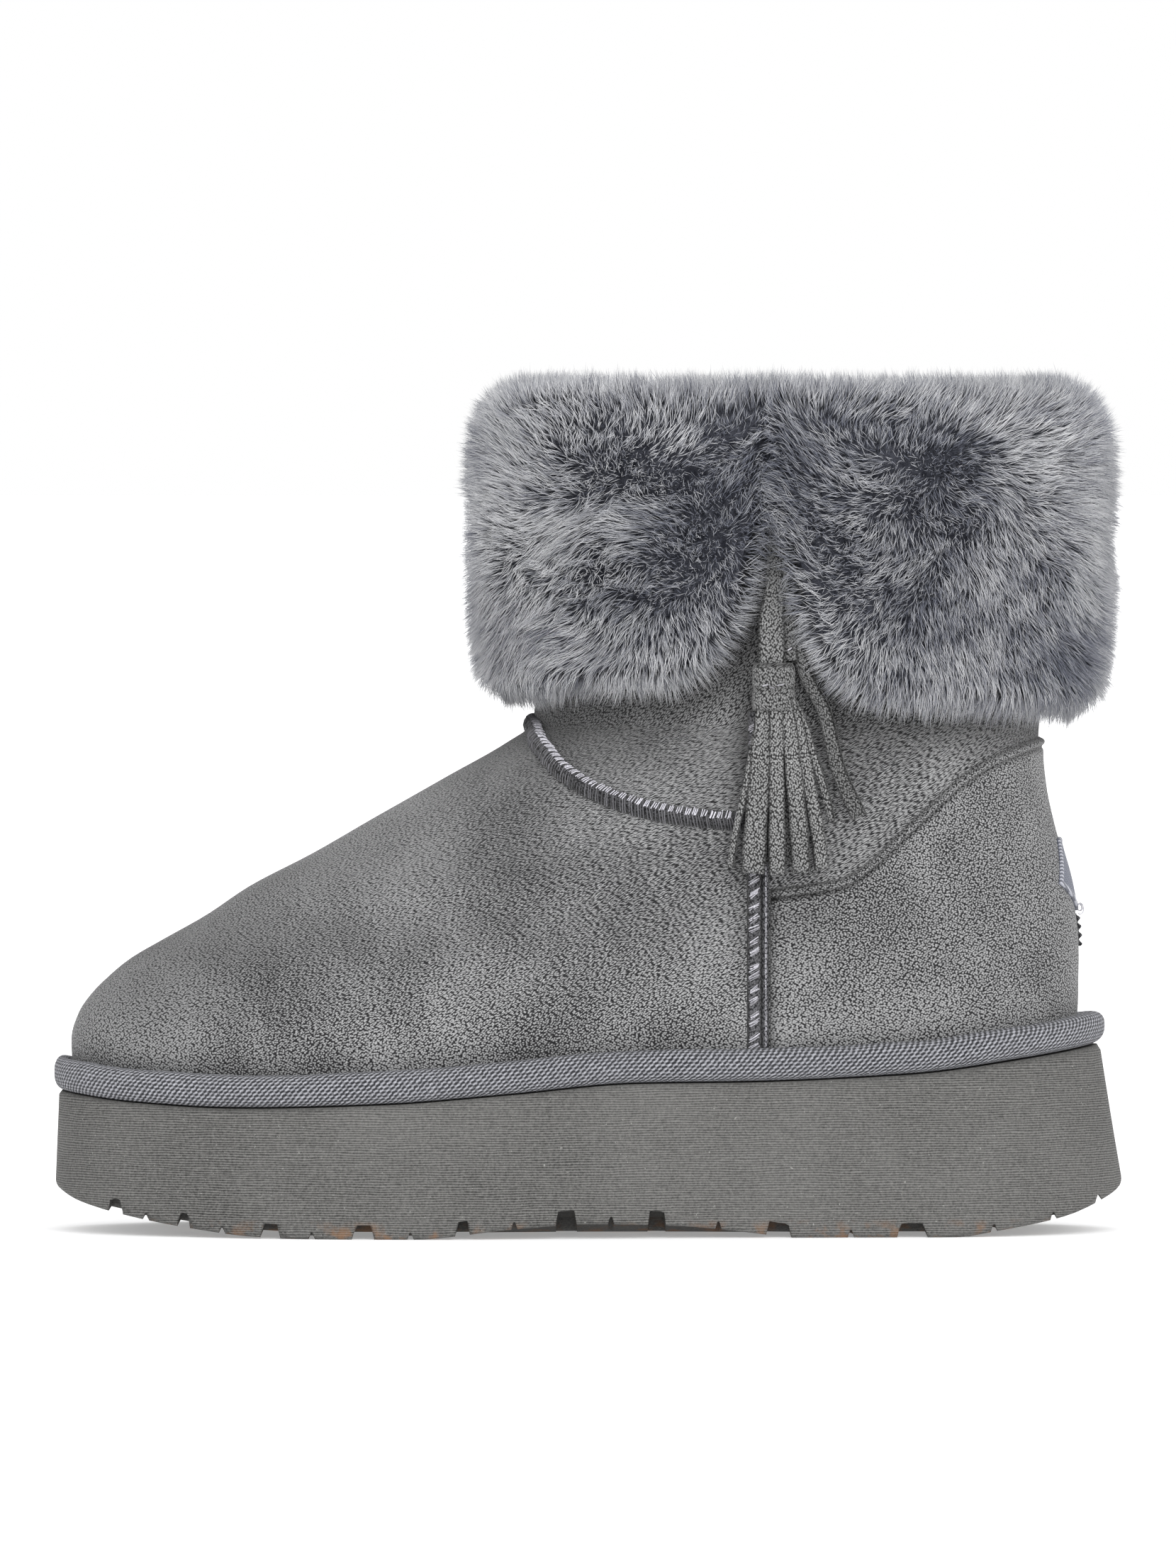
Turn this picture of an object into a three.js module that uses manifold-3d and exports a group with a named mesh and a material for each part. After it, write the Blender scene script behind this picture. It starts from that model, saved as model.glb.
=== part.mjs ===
// A left snow boot in grey suede, standing on a lugged platform sole, with a folded fur cuff and a tassel.
// Millimetres, +Z up. The toe points to -X and the wearer's outer side to -Y.
import * as THREE from "three";
import { mergeVertices } from "three/addons/utils/BufferGeometryUtils.js";
import Module from "manifold-3d";

const wasm = await Module();
wasm.setup();

// Platform sole
const soleLength = 278; // toe end to heel end
const ballWidth = 104; // across its top at the ball of the foot
const ballHeight = 33.3; // floor to its top under the ball
const heelHeight = 49.5; // floor to its top at the heel end
const toeSpring = 11.8; // lift of its lower edge at the toe end
const archRise = 3.8; // lift of its lower edge under the arch
const heelRoll = 12; // lift of its lower edge at the heel end
const sideFlare = 2.4; // how far its foot stands out past its top
const toeFlare = 1; // the toe of the platform leans out this far from its top to its foot
const heelFlare = 6; // the heel end leans out this far
const edgeRound = 1.2; // rolled lower edge
const lugDepth = 3.7; // wide grooves
const lugReach = 0.37; // share of the tread's width that each runs in from its side
const sipeDepth = 2; // narrow cuts between them, in from each side
const sipeWidth = 1.6;
const sipeReach = 20;

// Upper
const wall = 3; // suede with its lining
const rimHeight = 206; // floor to the collar's rim, under the fold of the cuff
const shaftWidth = 95; // across the ankle shaft
const ledge = 5.6; // bare edge of the platform round the upper's foot
const gap = 0.3; // clearance between pieces that meet

// Footbed, binding tape, panels and seams
const insoleThick = 4;
const bindingHeight = 8.4;
const bindingProud = 1.3; // past the platform's edge
const quarterThick = 1.2; // heel quarter, lapped over the shaft
const sideSeamPlace = 0.657; // share of the sole's length from the toe
const sideSeamWidth = 5.7;
const instepSeamWidth = 4.2;
const seamHeight = 2;

// Fur cuff
const cuffTop = 222; // floor to the top of the fold
const cuffDrop = 86; // fold to lower edge
const furDepth = 17.5; // outer side of the shaft to the pile's face
const liningDepth = 9; // pile inside the collar
const liningReach = 40; // how far the pile goes down inside
const lockLength = 13.5; // tufts of pile along the lower edge
const lockWidth = 8;
const clumpSwell = 0.07; // how far the pile's clumps stand out, as a share of its depth
const edgeLip = 3; // how far the backing's edge lies above the lowest pile
const slitStart = 66; // degrees from the toe by the outer side
const slitEnd = 105;

// Tassel
const strapThick = 1.6;
const tasselPlace = 0.671; // share of the sole's length from the toe
const headWidth = 10.9;
const headDepth = 7;
const headTop = 148.4;
const headHeight = 12.3;
const stripThick = 1.4;

// Heel label
const labelWidth = 24; // across its lower corners
const labelTopWidth = 10;
const labelThick = 0.8;

// Colours by eye
const suedeGrey = 0x747672;
const soleGrey = 0x62635d;
const tapeGrey = 0x6d7178;
const furGrey = 0x80838c;
const labelGrey = 0x5c6376;

const degree = Math.PI / 180;
const { lerp, clamp } = THREE.MathUtils;

// Plan of the platform's top: half widths as shares of the ball width, before its ends are rounded in.
const planForm = [
  ["along", "outer", "inner"],
  [0.0, 0.43, 0.5],
  [0.1, 0.445, 0.495],
  [0.2, 0.478, 0.492],
  [0.28, 0.5, 0.49],
  [0.38, 0.512, 0.462],
  [0.5, 0.475, 0.39],
  [0.6, 0.43, 0.362],
  [0.7, 0.4, 0.37],
  [0.8, 0.392, 0.388],
  [0.9, 0.39, 0.39],
  [1.0, 0.385, 0.385],
];

// Height of the platform's top, as a share of the way from the ball height to the heel height.
const deckForm = [
  ["along", "rise"],
  [0.0, 0.21],
  [0.075, 0.068],
  [0.166, 0],
  [0.308, 0.068],
  [0.427, 0.228],
  [0.544, 0.395],
  [0.646, 0.41],
  [0.8, 0.53],
  [0.902, 0.747],
  [1.0, 1],
];

// Lift of the platform's lower edge, as shares of toe spring, arch rise and heel roll.
const treadForm = [
  ["along", "toe", "arch", "heel"],
  [0.0, 1, 0, 0],
  [0.025, 0.72, 0, 0],
  [0.07, 0.45, 0, 0],
  [0.12, 0.24, 0, 0],
  [0.19, 0.04, 0, 0],
  [0.24, 0, 0, 0],
  [0.335, 0, 0, 0],
  [0.43, 0, 0.68, 0],
  [0.5, 0, 1, 0],
  [0.575, 0, 0.87, 0],
  [0.66, 0, 0.26, 0],
  [0.685, 0, 0, 0],
  [0.84, 0, 0, 0],
  [0.88, 0, 0, 0.13],
  [0.945, 0, 0, 0.42],
  [0.985, 0, 0, 0.8],
  [1.0, 0, 0, 1],
];

// Grooves of the tread, as shares of the sole's length.
const grooveForm = [
  ["along", "width"],
  [0.06, 0.0133],
  [0.124, 0.0115],
  [0.205, 0.0183],
  [0.291, 0.0205],
  [0.383, 0.0133],
  [0.479, 0.0194],
  [0.563, 0.0165],
  [0.676, 0.023],
  [0.8, 0.028],
];
const sipePlaces = [0.0885, 0.16, 0.2435, 0.335, 0.431, 0.5205, 0.62, 0.743, 0.876, 0.932];

// Sections of the upper from its foot, level 0, to the collar's rim, level 1. front, back, nose and seat are
// shares of the sole's length: where the section starts and ends, and how long its two round ends are.
// corner is the squareness of its nose, spread how far it has gone from the foot's plan to the shaft's oval,
// and girth a share of its width.
const upperForm = [
  ["level", "front", "back", "nose", "seat", "corner", "spread", "girth"],
  [0.0, 0.019, 0.9476, 0.3, 0.2, 2.35, 0, 0.965],
  [0.04, 0.0163, 0.9516, 0.3, 0.2, 2.35, 0, 0.99],
  [0.08, 0.0151, 0.9529, 0.3, 0.21, 2.3, 0, 1],
  [0.12, 0.0216, 0.9533, 0.31, 0.21, 2.25, 0.02, 1],
  [0.15, 0.033, 0.9539, 0.32, 0.22, 2.2, 0.05, 0.995],
  [0.18, 0.0495, 0.9537, 0.33, 0.22, 2.15, 0.1, 0.99],
  [0.21, 0.07, 0.9516, 0.34, 0.22, 2.1, 0.16, 0.985],
  [0.24, 0.0996, 0.9491, 0.355, 0.23, 2.1, 0.24, 0.98],
  [0.28, 0.142, 0.9446, 0.37, 0.23, 2.05, 0.34, 0.975],
  [0.325, 0.183, 0.9376, 0.37, 0.235, 2, 0.48, 0.97],
  [0.375, 0.243, 0.9299, 0.355, 0.235, 2, 0.62, 0.97],
  [0.43, 0.305, 0.9236, 0.335, 0.237, 2, 0.78, 0.975],
  [0.485, 0.368, 0.9212, 0.3, 0.237, 2, 0.9, 0.985],
  [0.53, 0.421, 0.9223, 0.265, 0.237, 2, 0.97, 0.995],
  [0.56, 0.447, 0.9246, 0.243, 0.2375, 2, 1, 1],
  [0.6, 0.4505, 0.926, 0.2378, 0.2378, 2, 1, 1],
  [0.8, 0.452, 0.928, 0.238, 0.238, 2, 1, 1],
  [1.0, 0.453, 0.93, 0.2385, 0.2385, 2, 1, 1],
];

// Seam between vamp and shaft, from the middle of the instep (turn 0) down to the side seam (turn 1).
const instepForm = [
  ["turn", "level"],
  [0.0, 0.56],
  [0.12, 0.553],
  [0.37, 0.519],
  [0.53, 0.487],
  [0.67, 0.454],
  [0.78, 0.43],
  [0.87, 0.415],
  [1.0, 0.404],
];

// Upper edge of the heel quarter, from the side seam (turn 0) to the middle of the back (turn 1).
const quarterForm = [
  ["turn", "level"],
  [0.0, 0.2986],
  [0.145, 0.3125],
  [0.204, 0.335],
  [0.292, 0.38],
  [0.383, 0.422],
  [0.502, 0.4695],
  [0.644, 0.497],
  [0.84, 0.511],
  [1.0, 0.514],
];

// Lower edge of the cuff round the shaft, in degrees from the toe by the outer side: its drop as a share of
// the cuff's, and the depth of its pile. The slit is at 85.5 degrees.
const cuffForm = [
  ["turn", "drop", "pile"],
  [0, 0.994, 1],
  [25, 1, 1],
  [50, 0.98, 1],
  [66, 0.972, 1],
  [72, 0.93, 0.98],
  [77, 0.83, 0.92],
  [81, 0.69, 0.8],
  [85.5, 0.44, 0.7],
  [89.5, 0.69, 0.8],
  [93, 0.85, 0.92],
  [97, 0.96, 0.98],
  [104, 1.02, 1],
  [130, 1.04, 1],
  [180, 1.045, 0.96],
  [240, 1.02, 1],
  [300, 1, 1],
  [360, 0.994, 1],
];

// Section of the cuff from its lower edge over its face to the fold: distance out as a share of the pile's
// depth, and height as a share of the way from the lower edge to the top.
const faceForm = [
  ["out", "up"],
  [0.55, 0],
  [0.88, 0.035],
  [0.97, 0.16],
  [1.0, 0.42],
  [1.0, 0.7],
  [0.93, 0.88],
  [0.66, 0.97],
  [0.22, 1],
];

// Pile over the rim and down inside: depth inwards and drop below the top, as shares of lining depth and reach.
const liningForm = [
  ["in", "down"],
  [0.45, 0.02],
  [0.9, 0.16],
  [1.0, 0.5],
  [0.9, 0.88],
  [0.4, 1],
];

// Strips of the tassel: places across it as shares of the head's width from its middle, foot as a share of
// the way from the head's top to the floor, width as a share of the head's, and layer out from the upper as a
// share of the head's depth.
const stripForm = [
  ["top", "middle", "foot", "drop", "width", "layer"],
  [-0.22, -0.68, -1.02, 0.356, 0.15, 0.66],
  [-0.16, -0.36, -0.48, 0.365, 0.6, 0.77],
  [0.05, 0.07, 0.08, 0.367, 0.41, 0.89],
  [0.24, 0.52, 0.66, 0.363, 0.46, 0.81],
  [0.36, 0.86, 1.14, 0.358, 0.35, 0.71],
  [-0.12, -0.16, -0.2, 0.349, 0.42, 0.46],
  [0.18, 0.3, 0.4, 0.346, 0.42, 0.49],
  [0.42, 1.0, 1.36, 0.272, 0.2, 0.6],
];

// Strap of the tassel: place from the slit's middle and half width as shares of the head's width, height as a
// share of the way from the head's top to the cuff's top, and distance out from the upper as a share of the
// head's depth.
const loopForm = [
  ["across", "half", "up", "out"],
  [0.0, 0.13, 0.45, 0.17],
  [-0.02, 0.15, 0.33, 0.19],
  [-0.1, 0.27, 0.13, 0.46],
  [-0.02, 0.24, 0.006, 0.71],
];
const tailForm = [
  ["across", "half", "up", "out"],
  [0.1, 0.12, 0.4, 0.19],
  [0.3, 0.14, 0.22, 0.26],
  [0.45, 0.14, 0.1, 0.37],
  [0.78, 0.14, -0.05, 0.71],
  [1.22, 0.14, -0.18, 0.77],
  [1.5, 0.15, -0.36, 0.66],
  [2.02, 0.17, -0.54, 0.6],
];

// Reads a table at any value of its first column, on smooth curves that never pass its rows.
function reader([names, ...rows]) {
  const keys = rows.map((row) => row[0]);
  const columns = names.map((name, column) => {
    const values = rows.map((row) => row[column]);
    const rises = values.slice(1).map((value, i) => (value - values[i]) / (keys[i + 1] - keys[i]));
    const slopes = values.map((value, i) => {
      const before = rises[Math.max(i - 1, 0)];
      const after = rises[Math.min(i, rises.length - 1)];
      return before * after > 0 ? (2 * before * after) / (before + after) : 0;
    });
    return { name, values, slopes };
  });
  return (key) => {
    const at = clamp(key, keys[0], keys[keys.length - 1]);
    const i = clamp(keys.findIndex((value) => value >= at) - 1, 0, keys.length - 2);
    const span = keys[i + 1] - keys[i];
    const t = (at - keys[i]) / span;
    const row = {};
    for (const { name, values, slopes } of columns) {
      const start = (1 + 2 * t) * (1 - t) ** 2 * values[i] + t * (1 - t) ** 2 * span * slopes[i];
      const end = t ** 2 * (3 - 2 * t) * values[i + 1] - t ** 2 * (1 - t) * span * slopes[i + 1];
      row[name] = start + end;
    }
    return row;
  };
}

const planAt = reader(planForm);
const deckAt = reader(deckForm);
const treadAt = reader(treadForm);
const upperAt = reader(upperForm);
const instepAt = reader(instepForm);
const quarterAt = reader(quarterForm);
const cuffAt = reader(cuffForm);

// Each row of a table as an object with its columns by name.
function rowsOf([names, ...rows]) {
  return rows.map((row) => Object.fromEntries(names.map((name, column) => [name, row[column]])));
}

const placeAt = (share) => (share - 0.5) * soleLength;
const shareOf = (x) => x / soleLength + 0.5;
const deckHeight = (x) => lerp(ballHeight, heelHeight, deckAt(shareOf(x)).rise);

function treadHeight(x) {
  const { toe, arch, heel } = treadAt(shareOf(x));
  return toe * toeSpring + arch * archRise + heel * heelRoll;
}

// Share of the full width at a distance from a round end.
function roundEnd(distance, length, power) {
  const t = clamp(distance / length, 0, 1);
  return (1 - (1 - t) ** power) ** (1 / power);
}

// The outer side is the half turn from toe to heel by -Y, the inner side the half turn back.
function sideOf(turn) {
  const outer = Math.sin(turn) >= 0;
  return { side: outer ? "outer" : "inner", sign: outer ? -1 : 1 };
}

// A point of the platform's outline: depth 0 at its top, 1 at its foot, moved out by grow.
function solePoint(turn, depth, grow = 0) {
  const front = placeAt(0.004) - toeFlare * depth - grow;
  const back = placeAt(1) - heelFlare * (1 - depth) + grow;
  const x = lerp(front, back, (1 - Math.cos(turn)) / 2);
  const { side, sign } = sideOf(turn);
  const full = planAt(shareOf(x))[side] * ballWidth + sideFlare * depth + grow;
  const toeEnd = roundEnd(x - front, 0.3 * soleLength, 2.35);
  const heelEnd = roundEnd(back - x, 0.2 * soleLength, 2.1);
  return new THREE.Vector3(x, sign * full * toeEnd * heelEnd, 0);
}

// A point of the upper's outer face.
function upperFace(turn, level) {
  const { front, back, nose, seat, corner, spread, girth } = upperAt(level);
  const start = placeAt(front);
  const end = placeAt(back);
  const x = lerp(start, end, (1 - Math.cos(turn)) / 2);
  const { side, sign } = sideOf(turn);
  const foot = planAt(shareOf(x))[side] * ballWidth - ledge;
  const full = lerp(foot, shaftWidth / 2, spread) * girth;
  const ends = roundEnd(x - start, nose * soleLength, corner) * roundEnd(end - x, seat * soleLength, 2);
  const z = lerp(deckHeight(x) + gap, rimHeight, level);
  return new THREE.Vector3(x, sign * full * ends, z);
}

// A point of the upper's outer face and the direction straight out of it.
function upperFrame(turn, level) {
  const step = 0.012;
  const around = upperFace(turn + step, level).sub(upperFace(turn - step, level));
  const up = upperFace(turn, level + step).sub(upperFace(turn, level - step));
  return { point: upperFace(turn, level), out: around.cross(up).normalize() };
}

function upperPoint(turn, level, distance) {
  const { point, out } = upperFrame(turn, level);
  return point.addScaledVector(out, distance);
}

const levelAt = (x, z) => (z - deckHeight(x) - gap) / (rimHeight - deckHeight(x) - gap);

// The turn at which a section of the upper passes a place along the boot, on the outer side.
function turnAt(x, level) {
  const { front, back } = upperAt(level);
  const share = (x - placeAt(front)) / (placeAt(back) - placeAt(front));
  return Math.acos(clamp(1 - 2 * share, -1, 1));
}

// Joins each loop of points to the next, and the last to the first in a ring. Otherwise both ends are closed
// by a strip across the loop, whose two sides run from its start; tip says that the start is a single point.
function skin(loops, { ring = false, tip = false } = {}) {
  const count = loops[0].length;
  const faces = [];
  const spans = ring ? loops.length : loops.length - 1;
  for (let i = 0; i < spans; i++) {
    const near = i * count;
    const far = ((i + 1) % loops.length) * count;
    for (let j = 0; j < count; j++) {
      const next = (j + 1) % count;
      faces.push([near + j, near + next, far + next], [near + j, far + next, far + j]);
    }
  }
  const closeEnd = (first, flip) => {
    let left = 0;
    let right = count - 1;
    const add = (a, b, c) => faces.push(flip ? [first + a, first + b, first + c] : [first + a, first + c, first + b]);
    if (tip) add(left++, left, right);
    while (right - left > 1) {
      add(left, left + 1, right);
      left++;
      if (right - left > 1) add(left, right - 1, right);
      right--;
    }
  };
  if (!ring) {
    closeEnd(0, false);
    closeEnd((loops.length - 1) * count, true);
  }
  const points = loops.flat();
  const volume = faces.reduce((sum, [a, b, c]) => {
    return sum + points[a].dot(new THREE.Vector3().crossVectors(points[b], points[c]));
  }, 0);
  const outward = volume < 0 ? faces.map(([a, b, c]) => [a, c, b]) : faces;
  const geometry = new THREE.BufferGeometry().setFromPoints(points);
  geometry.setIndex(outward.flat());
  return geometry;
}

// A closed geometry as a solid that can be joined and cut.
function solidOf(geometry) {
  const bare = geometry.clone();
  bare.deleteAttribute("normal");
  bare.deleteAttribute("uv");
  const merged = mergeVertices(bare, 1e-4);
  const vertProperties = new Float32Array(merged.attributes.position.array);
  const triVerts = new Uint32Array(merged.index.array);
  return new wasm.Manifold(new wasm.Mesh({ numProp: 3, vertProperties, triVerts }));
}

function geometryOf(solid) {
  const { vertProperties, triVerts } = solid.getMesh();
  const geometry = new THREE.BufferGeometry();
  geometry.setAttribute("position", new THREE.BufferAttribute(new Float32Array(vertProperties), 3));
  geometry.setIndex(new THREE.BufferAttribute(new Uint32Array(triVerts), 1));
  geometry.computeVertexNormals();
  return geometry;
}

const boot = new THREE.Group();

function addPiece(name, solid, color, roughness) {
  const material = new THREE.MeshStandardMaterial({ color, roughness, metalness: 0 });
  const mesh = new THREE.Mesh(geometryOf(solid), material);
  mesh.name = name;
  boot.add(mesh);
}

// Evenly spaced values, both ends included.
function steps(from, to, count) {
  return Array.from({ length: count + 1 }, (_, i) => lerp(from, to, i / count));
}

const ringTurns = steps(0, 2 * Math.PI, 44).slice(0, -1);

// Platform: outline rings from its top to its foot, with grooves and sipes cut in the tread.
function makeSole() {
  const depths = [0, 0.35, 0.7, 0.95, 1];
  const loops = depths.map((depth, i) => {
    const inset = i === depths.length - 1 ? -edgeRound : 0;
    return steps(0, 2 * Math.PI, 60)
      .slice(0, -1)
      .map((turn) => {
        const point = solePoint(turn, depth, inset);
        point.z = lerp(deckHeight(point.x), treadHeight(point.x), depth);
        return point;
      });
  });
  let sole = solidOf(skin(loops, { tip: true }));
  const cutBothSides = (along, half, taper, depth, reachOf) => {
    const turn = Math.acos(1 - 2 * along);
    const outer = solePoint(turn, 1).y;
    const inner = solePoint(-turn, 1).y;
    const reach = reachOf(inner - outer);
    sole = sole.subtract(grooveCut(placeAt(along), half, taper, depth, -ballWidth, outer + reach));
    sole = sole.subtract(grooveCut(placeAt(along), half, taper, depth, inner - reach, ballWidth));
  };
  for (const { along, width } of rowsOf(grooveForm)) {
    cutBothSides(along, (width * soleLength) / 2, 0.78, lugDepth, (across) => lugReach * across);
  }
  for (const along of sipePlaces) {
    cutBothSides(along, sipeWidth / 2, 0.3, sipeDepth, () => sipeReach);
  }
  return sole;
}

// A tapered bar across the tread from one side place to another, as deep as the groove it cuts.
function grooveCut(x, half, taper, depth, fromY, toY) {
  const foot = treadHeight(x);
  const below = toeSpring;
  const outline = new THREE.Shape([
    new THREE.Vector2(x - half * (1 + (1 - taper) * 0.5), -below),
    new THREE.Vector2(x + half * (1 + (1 - taper) * 0.5), -below),
    new THREE.Vector2(x + half, foot),
    new THREE.Vector2(x + half * taper, foot + depth),
    new THREE.Vector2(x - half * taper, foot + depth),
    new THREE.Vector2(x - half, foot),
  ]);
  const bar = new THREE.ExtrudeGeometry(outline, { depth: toY - fromY, bevelEnabled: false });
  bar.rotateX(Math.PI / 2);
  bar.translate(0, toY, 0);
  return solidOf(bar);
}

// Footbed on the platform, inside the wall.
function makeInsole() {
  const outline = ringTurns.map((turn) => upperPoint(turn, 0, -wall - gap));
  const loops = [gap, gap + insoleThick].map((lift) =>
    outline.map(({ x, y }) => new THREE.Vector3(x, y, deckHeight(x) + lift)),
  );
  return solidOf(skin(loops, { tip: true }));
}

// Upper: one wall, open underneath and at the collar. Grown, it is the room that it takes with a clearance.
function makeUpper(grow = 0) {
  const levels = upperForm.slice(1).map(([level]) => level);
  const inside = levels.filter((level, i) => i % 2 === 0 || level === 1).reverse();
  const lift = (point, level) => point.setZ(point.z + grow * (level === 1) - grow * (level === 0));
  const loops = ringTurns.map((turn) => [
    ...levels.map((level) => lift(upperPoint(turn, level, grow), level)),
    ...inside.map((level) => lift(upperPoint(turn, level, -wall - grow), level)),
  ]);
  return solidOf(skin(loops, { ring: true }));
}

const upperRoom = makeUpper(gap);

// Binding tape, rolled round the foot of the upper and lying on the platform's edge.
function makeBinding() {
  const roll = [
    [0, 0],
    [0.75, 0],
    [1, 0.24],
    [1, 0.62],
    [0.7, 0.94],
    [0, 0.98],
  ];
  const loops = ringTurns.map((turn) => {
    const edge = solePoint(turn, 0, bindingProud);
    return roll.map(([across, up]) => {
      const foot = upperFace(turn, 0);
      const inside = upperPoint(turn, (up * bindingHeight) / (rimHeight - foot.z), gap);
      const x = lerp(inside.x, edge.x, across);
      const y = lerp(inside.y, edge.y, across);
      return new THREE.Vector3(x, y, deckHeight(x) + gap + up * bindingHeight);
    });
  });
  return solidOf(skin(loops, { ring: true }));
}

// A rounded ridge on the upper along a path of turns and levels.
function ridge(path, width, height) {
  const section = [
    [-0.5, -0.7],
    [-0.5, 0.1],
    [-0.4, 0.7],
    [-0.16, 1],
    [0.16, 1],
    [0.4, 0.7],
    [0.5, 0.1],
    [0.5, -0.7],
  ];
  const frames = path.map(({ turn, level }) => upperFrame(turn, level));
  const loops = frames.map(({ point, out }, i) => {
    const before = frames[Math.max(i - 1, 0)].point;
    const after = frames[Math.min(i + 1, frames.length - 1)].point;
    const across = new THREE.Vector3().subVectors(after, before).cross(out).normalize();
    return section.map(([side, up]) =>
      point
        .clone()
        .addScaledVector(across, side * width)
        .addScaledVector(out, gap + up * height),
    );
  });
  return solidOf(skin(loops)).subtract(upperRoom);
}

const sideSeamX = placeAt(sideSeamPlace);
const bindingTopLevel = (bindingHeight + 2 * gap) / (rimHeight - deckHeight(sideSeamX));

// Seam over the instep, from one side seam to the other.
function makeInstepSeam() {
  const endLevel = instepAt(1).level;
  const reach = turnAt(sideSeamX - sideSeamWidth / 2 - gap - seamHeight / 4, endLevel);
  const path = steps(-1, 1, 21).map((share) => ({
    turn: share * reach,
    level: instepAt(Math.abs(share)).level,
  }));
  return ridge(path, instepSeamWidth, seamHeight);
}

// Seam up one side, from the binding to under the cuff.
function makeSideSeam(sign, topLevel) {
  const path = steps(bindingTopLevel + gap / rimHeight, topLevel, 14).map((level) => ({
    turn: sign * turnAt(sideSeamX, level),
    level,
  }));
  return ridge(path, sideSeamWidth, seamHeight);
}

// Heel quarter: a skin over the upper behind the side seams, up to its curved edge.
function makeQuarter() {
  const start = sideSeamX + sideSeamWidth / 2 + gap;
  const columns = steps(-1, 1, 21);
  const shares = steps(0, 1, 5);
  const loops = columns.map((column) => {
    const share = 1 - Math.abs(column);
    const topLevel = quarterAt(share).level;
    const point = (rise, distance) => {
      const level = lerp(bindingTopLevel + gap / rimHeight, topLevel, rise);
      const turn = lerp(turnAt(start, level), Math.PI, share);
      return upperPoint(column < 0 ? turn : -turn, level, distance);
    };
    return [
      ...shares.map((rise) => point(rise, -wall / 2)),
      ...shares.toReversed().map((rise) => point(rise, gap + quarterThick)),
    ];
  });
  return solidOf(skin(loops)).subtract(upperRoom);
}

// Shield-shaped label on the middle of the heel quarter, widest at its lower corners.
function makeLabel() {
  const topLevel = 0.344;
  const cornerLevel = 0.272;
  const tipLevel = 0.222;
  const halfTurn = steps(0, Math.PI / 2, 200).find((turn) => {
    return Math.abs(upperFace(Math.PI - turn, cornerLevel).y) >= labelWidth / 2;
  });
  const lift = 2 * gap + quarterThick;
  const loops = steps(-1, 1, 10).map((column) => {
    const foot = lerp(tipLevel, cornerLevel, Math.abs(column));
    const rows = steps(foot, topLevel, 4);
    const point = (level, distance) => {
      const rise = clamp((level - cornerLevel) / (topLevel - cornerLevel), 0, 1);
      const turn = Math.PI + column * halfTurn * lerp(1, labelTopWidth / labelWidth, rise);
      return upperPoint(turn, level, distance);
    };
    return [
      ...rows.map((level) => point(level, lift)),
      ...rows.toReversed().map((level) => point(level, lift + labelThick)),
    ];
  });
  return solidOf(skin(loops));
}

// A point out from the shaft's oval, at a height of its own.
function cuffPoint(turn, distance, z) {
  const ovalLevel = 0.8;
  const { point, out } = upperFrame(turn, ovalLevel);
  out.setZ(0).normalize();
  point.addScaledVector(out, distance);
  return point.setZ(z);
}

function edgeHeight(turn) {
  return cuffTop - cuffDrop * cuffAt(turn / degree).drop;
}

// Cuff: pile folded over the collar's rim, with a slit on the outer side and tufts along its edge.
function makeCuff() {
  const turns = [...steps(0, slitStart, 7), ...steps(slitStart, slitEnd, 16).slice(1)];
  turns.push(...steps(slitEnd, 360, 23).slice(1, -1));
  const loops = turns.map((angle) => cuffSection(angle * degree));
  let cuff = solidOf(skin(loops, { ring: true }));
  for (const lock of cuffLocks()) cuff = cuff.add(lock);
  return cuff.subtract(upperRoom).subtract(makeStrap(gap));
}

function cuffSection(turn) {
  const foot = edgeHeight(turn);
  const depth = furDepth * cuffAt(turn / degree).pile;
  const onShaft = (z, distance) => upperPoint(turn, levelAt(upperFace(turn, 1).x, z), distance);
  const face = rowsOf(faceForm).map(({ out, up }) => {
    const swell = 1 + clumpSwell * Math.sin(9 * turn + 7 * up) * Math.sin(5 * turn - 9 * up) * (1 - up);
    return cuffPoint(turn, out * depth * swell, lerp(foot, cuffTop, up));
  });
  const lining = rowsOf(liningForm).map((row) => {
    return cuffPoint(turn, -wall - row.in * liningDepth, cuffTop - row.down * liningReach);
  });
  const liningFoot = cuffTop - liningReach;
  const inWall = [1, 0.5, 0].map((share) => onShaft(lerp(foot + edgeLip, liningFoot, share), -wall / 2));
  return [...face, ...lining, ...inWall];
}

// A tapered tuft from a root inside the pile through a middle to its tip.
function lock(root, middle, tip, width) {
  const along = new THREE.Vector3().subVectors(tip, root);
  const across = new THREE.Vector3(-root.y, root.x - placeAt(0.69), 0).normalize();
  const deep = new THREE.Vector3().crossVectors(along, across).normalize();
  const loops = [
    [root, 0.5],
    [middle, 0.42],
    [tip, 0.06],
  ].map(([point, share]) =>
    [
      [-1, 0],
      [0, -0.7],
      [1, 0],
      [0, 0.7],
    ].map(([a, b]) =>
      point
        .clone()
        .addScaledVector(across, a * share * width)
        .addScaledVector(deep, b * share * width),
    ),
  );
  return solidOf(skin(loops));
}

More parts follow.
